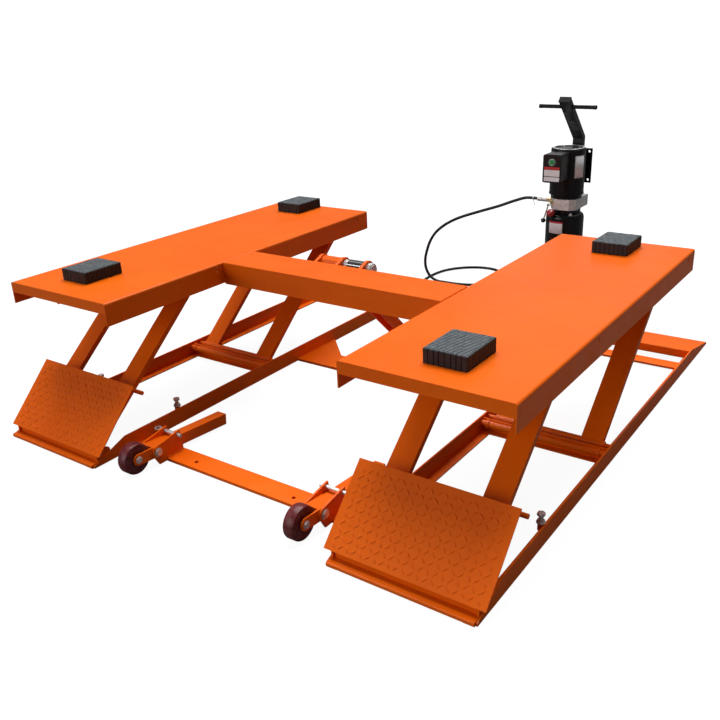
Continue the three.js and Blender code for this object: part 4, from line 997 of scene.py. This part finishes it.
def make_ferrule():
    profile = [(0, -0.0004), (0.0108, -0.0004)]
    for k in range(CRIMPS):
        x = 0.002 + k * CRIMP_PITCH
        profile += [(FERRULE_OUTER, x), (FERRULE_OUTER, x + 0.0052)]
        profile += [(FERRULE_NECK, x + 0.0058), (FERRULE_NECK, x + 0.0070)]
    profile += [(FERRULE_OUTER, FERRULE_END - 0.0002), (FERRULE_NECK, FERRULE_END), (0, FERRULE_END)]
    place = at(FERRULE_X, PORT_Y, PORT_Z)
    turned_piece("hose_ferrule", "aluminium", "base", "steel", profile, 24, place, X_AXIS, Z_AXIS)


def make_tie():
    tie = Parts()
    band = [(TIE_INNER, 0), (TIE_OUTER, 0), (TIE_OUTER, TIE_WIDE), (TIE_INNER, TIE_WIDE), (TIE_INNER, 0)]
    tie.turned(band, 20, at(TIE_X, PORT_Y, PORT_Z), X_AXIS, Z_AXIS)
    tail = []
    for k in range(9):
        drop = 8.2 + 2.6 * k + 0.12 * k * k
        tail.append(at(TIE_X + 2.4, PORT_Y - 2 + 2 * k, PORT_Z - drop))
    tie.tube(tail, [TAIL_RADIUS] * len(tail), 6)
    tie.made("hose_tie", "tie_white", "base", slot="rubber")


make_ferrule()
make_tie()

# The lowering lever's knob, the tank's filler cap and elbow, and the handle's grips

KNOB_RADIUS, KNOB_STEPS, KNOB_PLACE = 0.0113, 14, (-86, -50, 372)
CAP_PLACE, CAP_LEAN = (-25, -72, 388), math.radians(35)
CAP_RIBS = 16
ELBOW_X, ELBOW_Y = 44, -55
HANDLE_HALF, HANDLE_Y, HANDLE_Z = 131, -42.1, 887


def make_knob():
    steps = [math.pi * k / KNOB_STEPS for k in range(1, KNOB_STEPS)]
    ball = [(KNOB_RADIUS * math.sin(t), -KNOB_RADIUS * math.cos(t)) for t in steps]
    profile = [(0, -KNOB_RADIUS), *ball, (0, KNOB_RADIUS)]
    turned_piece(
        "lever_knob",
        "knob_black",
        "lowering_lever",
        "black_paint",
        profile,
        24,
        by_pump(*KNOB_PLACE),
        Z_AXIS,
        Y_AXIS,
        smooth=True,
    )


def make_cap_grip():
    """The filler cap's crown with ribs round it, on an axis that leans out of the tank's shoulder."""
    x, y, _ = CAP_PLACE
    out = math.atan2(y, x)
    level = math.sin(CAP_LEAN)
    axis = Vector((math.cos(out) * level, math.sin(out) * level, math.cos(CAP_LEAN)))
    seat = by_pump(*CAP_PLACE)
    first = axis.orthogonal().normalized()
    second = axis.cross(first)
    crown = [(0, -0.0003), (0.0166, -0.0003), (0.0172, 0.001), (0.0172, 0.0145)]
    crown += [(0.0160, 0.0176), (0.0125, 0.0192), (0, 0.0196)]
    rib = [(0, 0), (0.0014, 0), (0.0014, 0.013), (0, 0.0138)]
    grip = Parts()
    grip.turned(crown, 40, seat + axis * 0.0325, axis, first)
    for k in range(CAP_RIBS):
        turn = 2 * math.pi * k / CAP_RIBS
        spot = seat + axis * 0.0332 + 0.0170 * (math.cos(turn) * first + math.sin(turn) * second)
        grip.turned(rib, 8, spot, axis, first)
    grip.made("cap_grip", "red_plastic", "base", smooth=True, slot="red_plastic")


def make_elbow():
    elbow = Parts()
    path = [by_pump(ELBOW_X, ELBOW_Y, 396)]
    for k in range(9):
        rise = 9 * math.sin(k / 8 * math.pi / 2)
        path.append(by_pump(ELBOW_X + 1.2 * k, ELBOW_Y - 1.6 * k, 406 + rise))
    elbow.tube(path, [0.0062] * len(path), 12)
    elbow.hexagon(0.0088, by_pump(ELBOW_X, ELBOW_Y, 400), Z_AXIS, 0.006, Y_AXIS)
    elbow.made("tank_elbow", "chrome", "base", slot="chrome")


def make_grips():
    grips = Parts()
    profile = [(0, 0.0012), (0.0084, 0.0012), (0.0092, 0.0004)]
    profile += [(0.0092, -0.0118), (0.0086, -0.0124), (0, -0.0124)]
    for side in (-1, 1):
        grips.turned(profile, 24, by_pump(side * HANDLE_HALF, HANDLE_Y, HANDLE_Z), (side, 0, 0), Z_AXIS)
    grips.made("handle_grips", "rubber", "base", slot="rubber")


make_knob()
make_cap_grip()
make_elbow()
make_grips()

# Floor, light and sky


FLOOR_HALF, FLOOR_DROP = 40, 0.0006
FLOOR_GLOW = (0.02, 0.94)  # on the object, and to the camera
SKY_LIGHT = (0.14, 1.05)


def make_stage():
    """A white floor. The camera sees it white with faint shadows, and its light on the object stays low."""
    corners = [(x * FLOOR_HALF, y * FLOOR_HALF, 0) for x, y in CORNERS]
    mesh = bpy.data.meshes.new("floor")
    mesh.from_pydata(corners, [], [(0, 1, 2, 3)])
    floor = bpy.data.objects.new("floor", mesh)
    floor.location = (0, 0, -FLOOR_DROP)
    bpy.context.scene.collection.objects.link(floor)
    s = Shader("floor", 0.9, specular=0.0)
    s.colour(s.mix(s.noise(1.5, 2), (0.11, 0.11, 0.11), (0.12, 0.12, 0.12)))
    seen = s.tree.nodes.new("ShaderNodeLightPath").outputs["Is Camera Ray"]
    s.out.inputs["Emission Color"].default_value = (1, 1, 1, 1)
    s.tree.links.new(s.spread(seen, 0, 1, *FLOOR_GLOW), s.out.inputs["Emission Strength"])
    mesh.materials.append(s.material)


make_stage()


def sun(name, towards, strength, spread):
    """Light from the direction given, as from a large soft box far off."""
    data = bpy.data.lights.new(name, "SUN")
    data.energy = strength
    data.angle = math.radians(spread)
    lamp = bpy.data.objects.new(name, data)
    lamp.rotation_mode = "QUATERNION"
    lamp.rotation_quaternion = Vector(towards).to_track_quat("Z", "Y")
    bpy.context.scene.collection.objects.link(lamp)


def panel(name, place, target, size, power):
    """A soft box that the platforms' tops mirror."""
    data = bpy.data.lights.new(name, "AREA")
    data.shape = "SQUARE"
    data.size = size
    data.energy = power
    lamp = bpy.data.objects.new(name, data)
    lamp.location = place
    lamp.rotation_mode = "QUATERNION"
    lamp.rotation_quaternion = (Vector(place) - Vector(target)).to_track_quat("Z", "Y")
    lamp.visible_camera = False
    bpy.context.scene.collection.objects.link(lamp)


def make_sky():
    """Plain white where the camera looks past the floor, and dim for the object's own light."""
    world = bpy.data.worlds.new("sky")
    world.use_nodes = True
    tree = world.node_tree
    background = tree.nodes["Background"]
    background.inputs["Color"].default_value = (1, 1, 1, 1)
    seen = tree.nodes.new("ShaderNodeLightPath").outputs["Is Camera Ray"]
    strength = tree.nodes.new("ShaderNodeMapRange")
    strength.inputs["To Min"].default_value = SKY_LIGHT[0]
    strength.inputs["To Max"].default_value = SKY_LIGHT[1]
    tree.links.new(seen, strength.inputs["Value"])
    tree.links.new(strength.outputs["Result"], background.inputs["Strength"])
    bpy.context.scene.world = world


sun("overhead", (-0.15, 0.35, 1), 3.7, 50)
sun("front", (-0.5, -1.0, 0.35), 1.0, 40)
panel("rear panel", (-1.1, 4.5, 2.1), (0.68, -0.1, 0.5), 1.8, 4.5)
make_sky()
bpy.context.scene.view_settings.view_transform = "Standard"
bpy.context.scene.view_settings.look = "None"
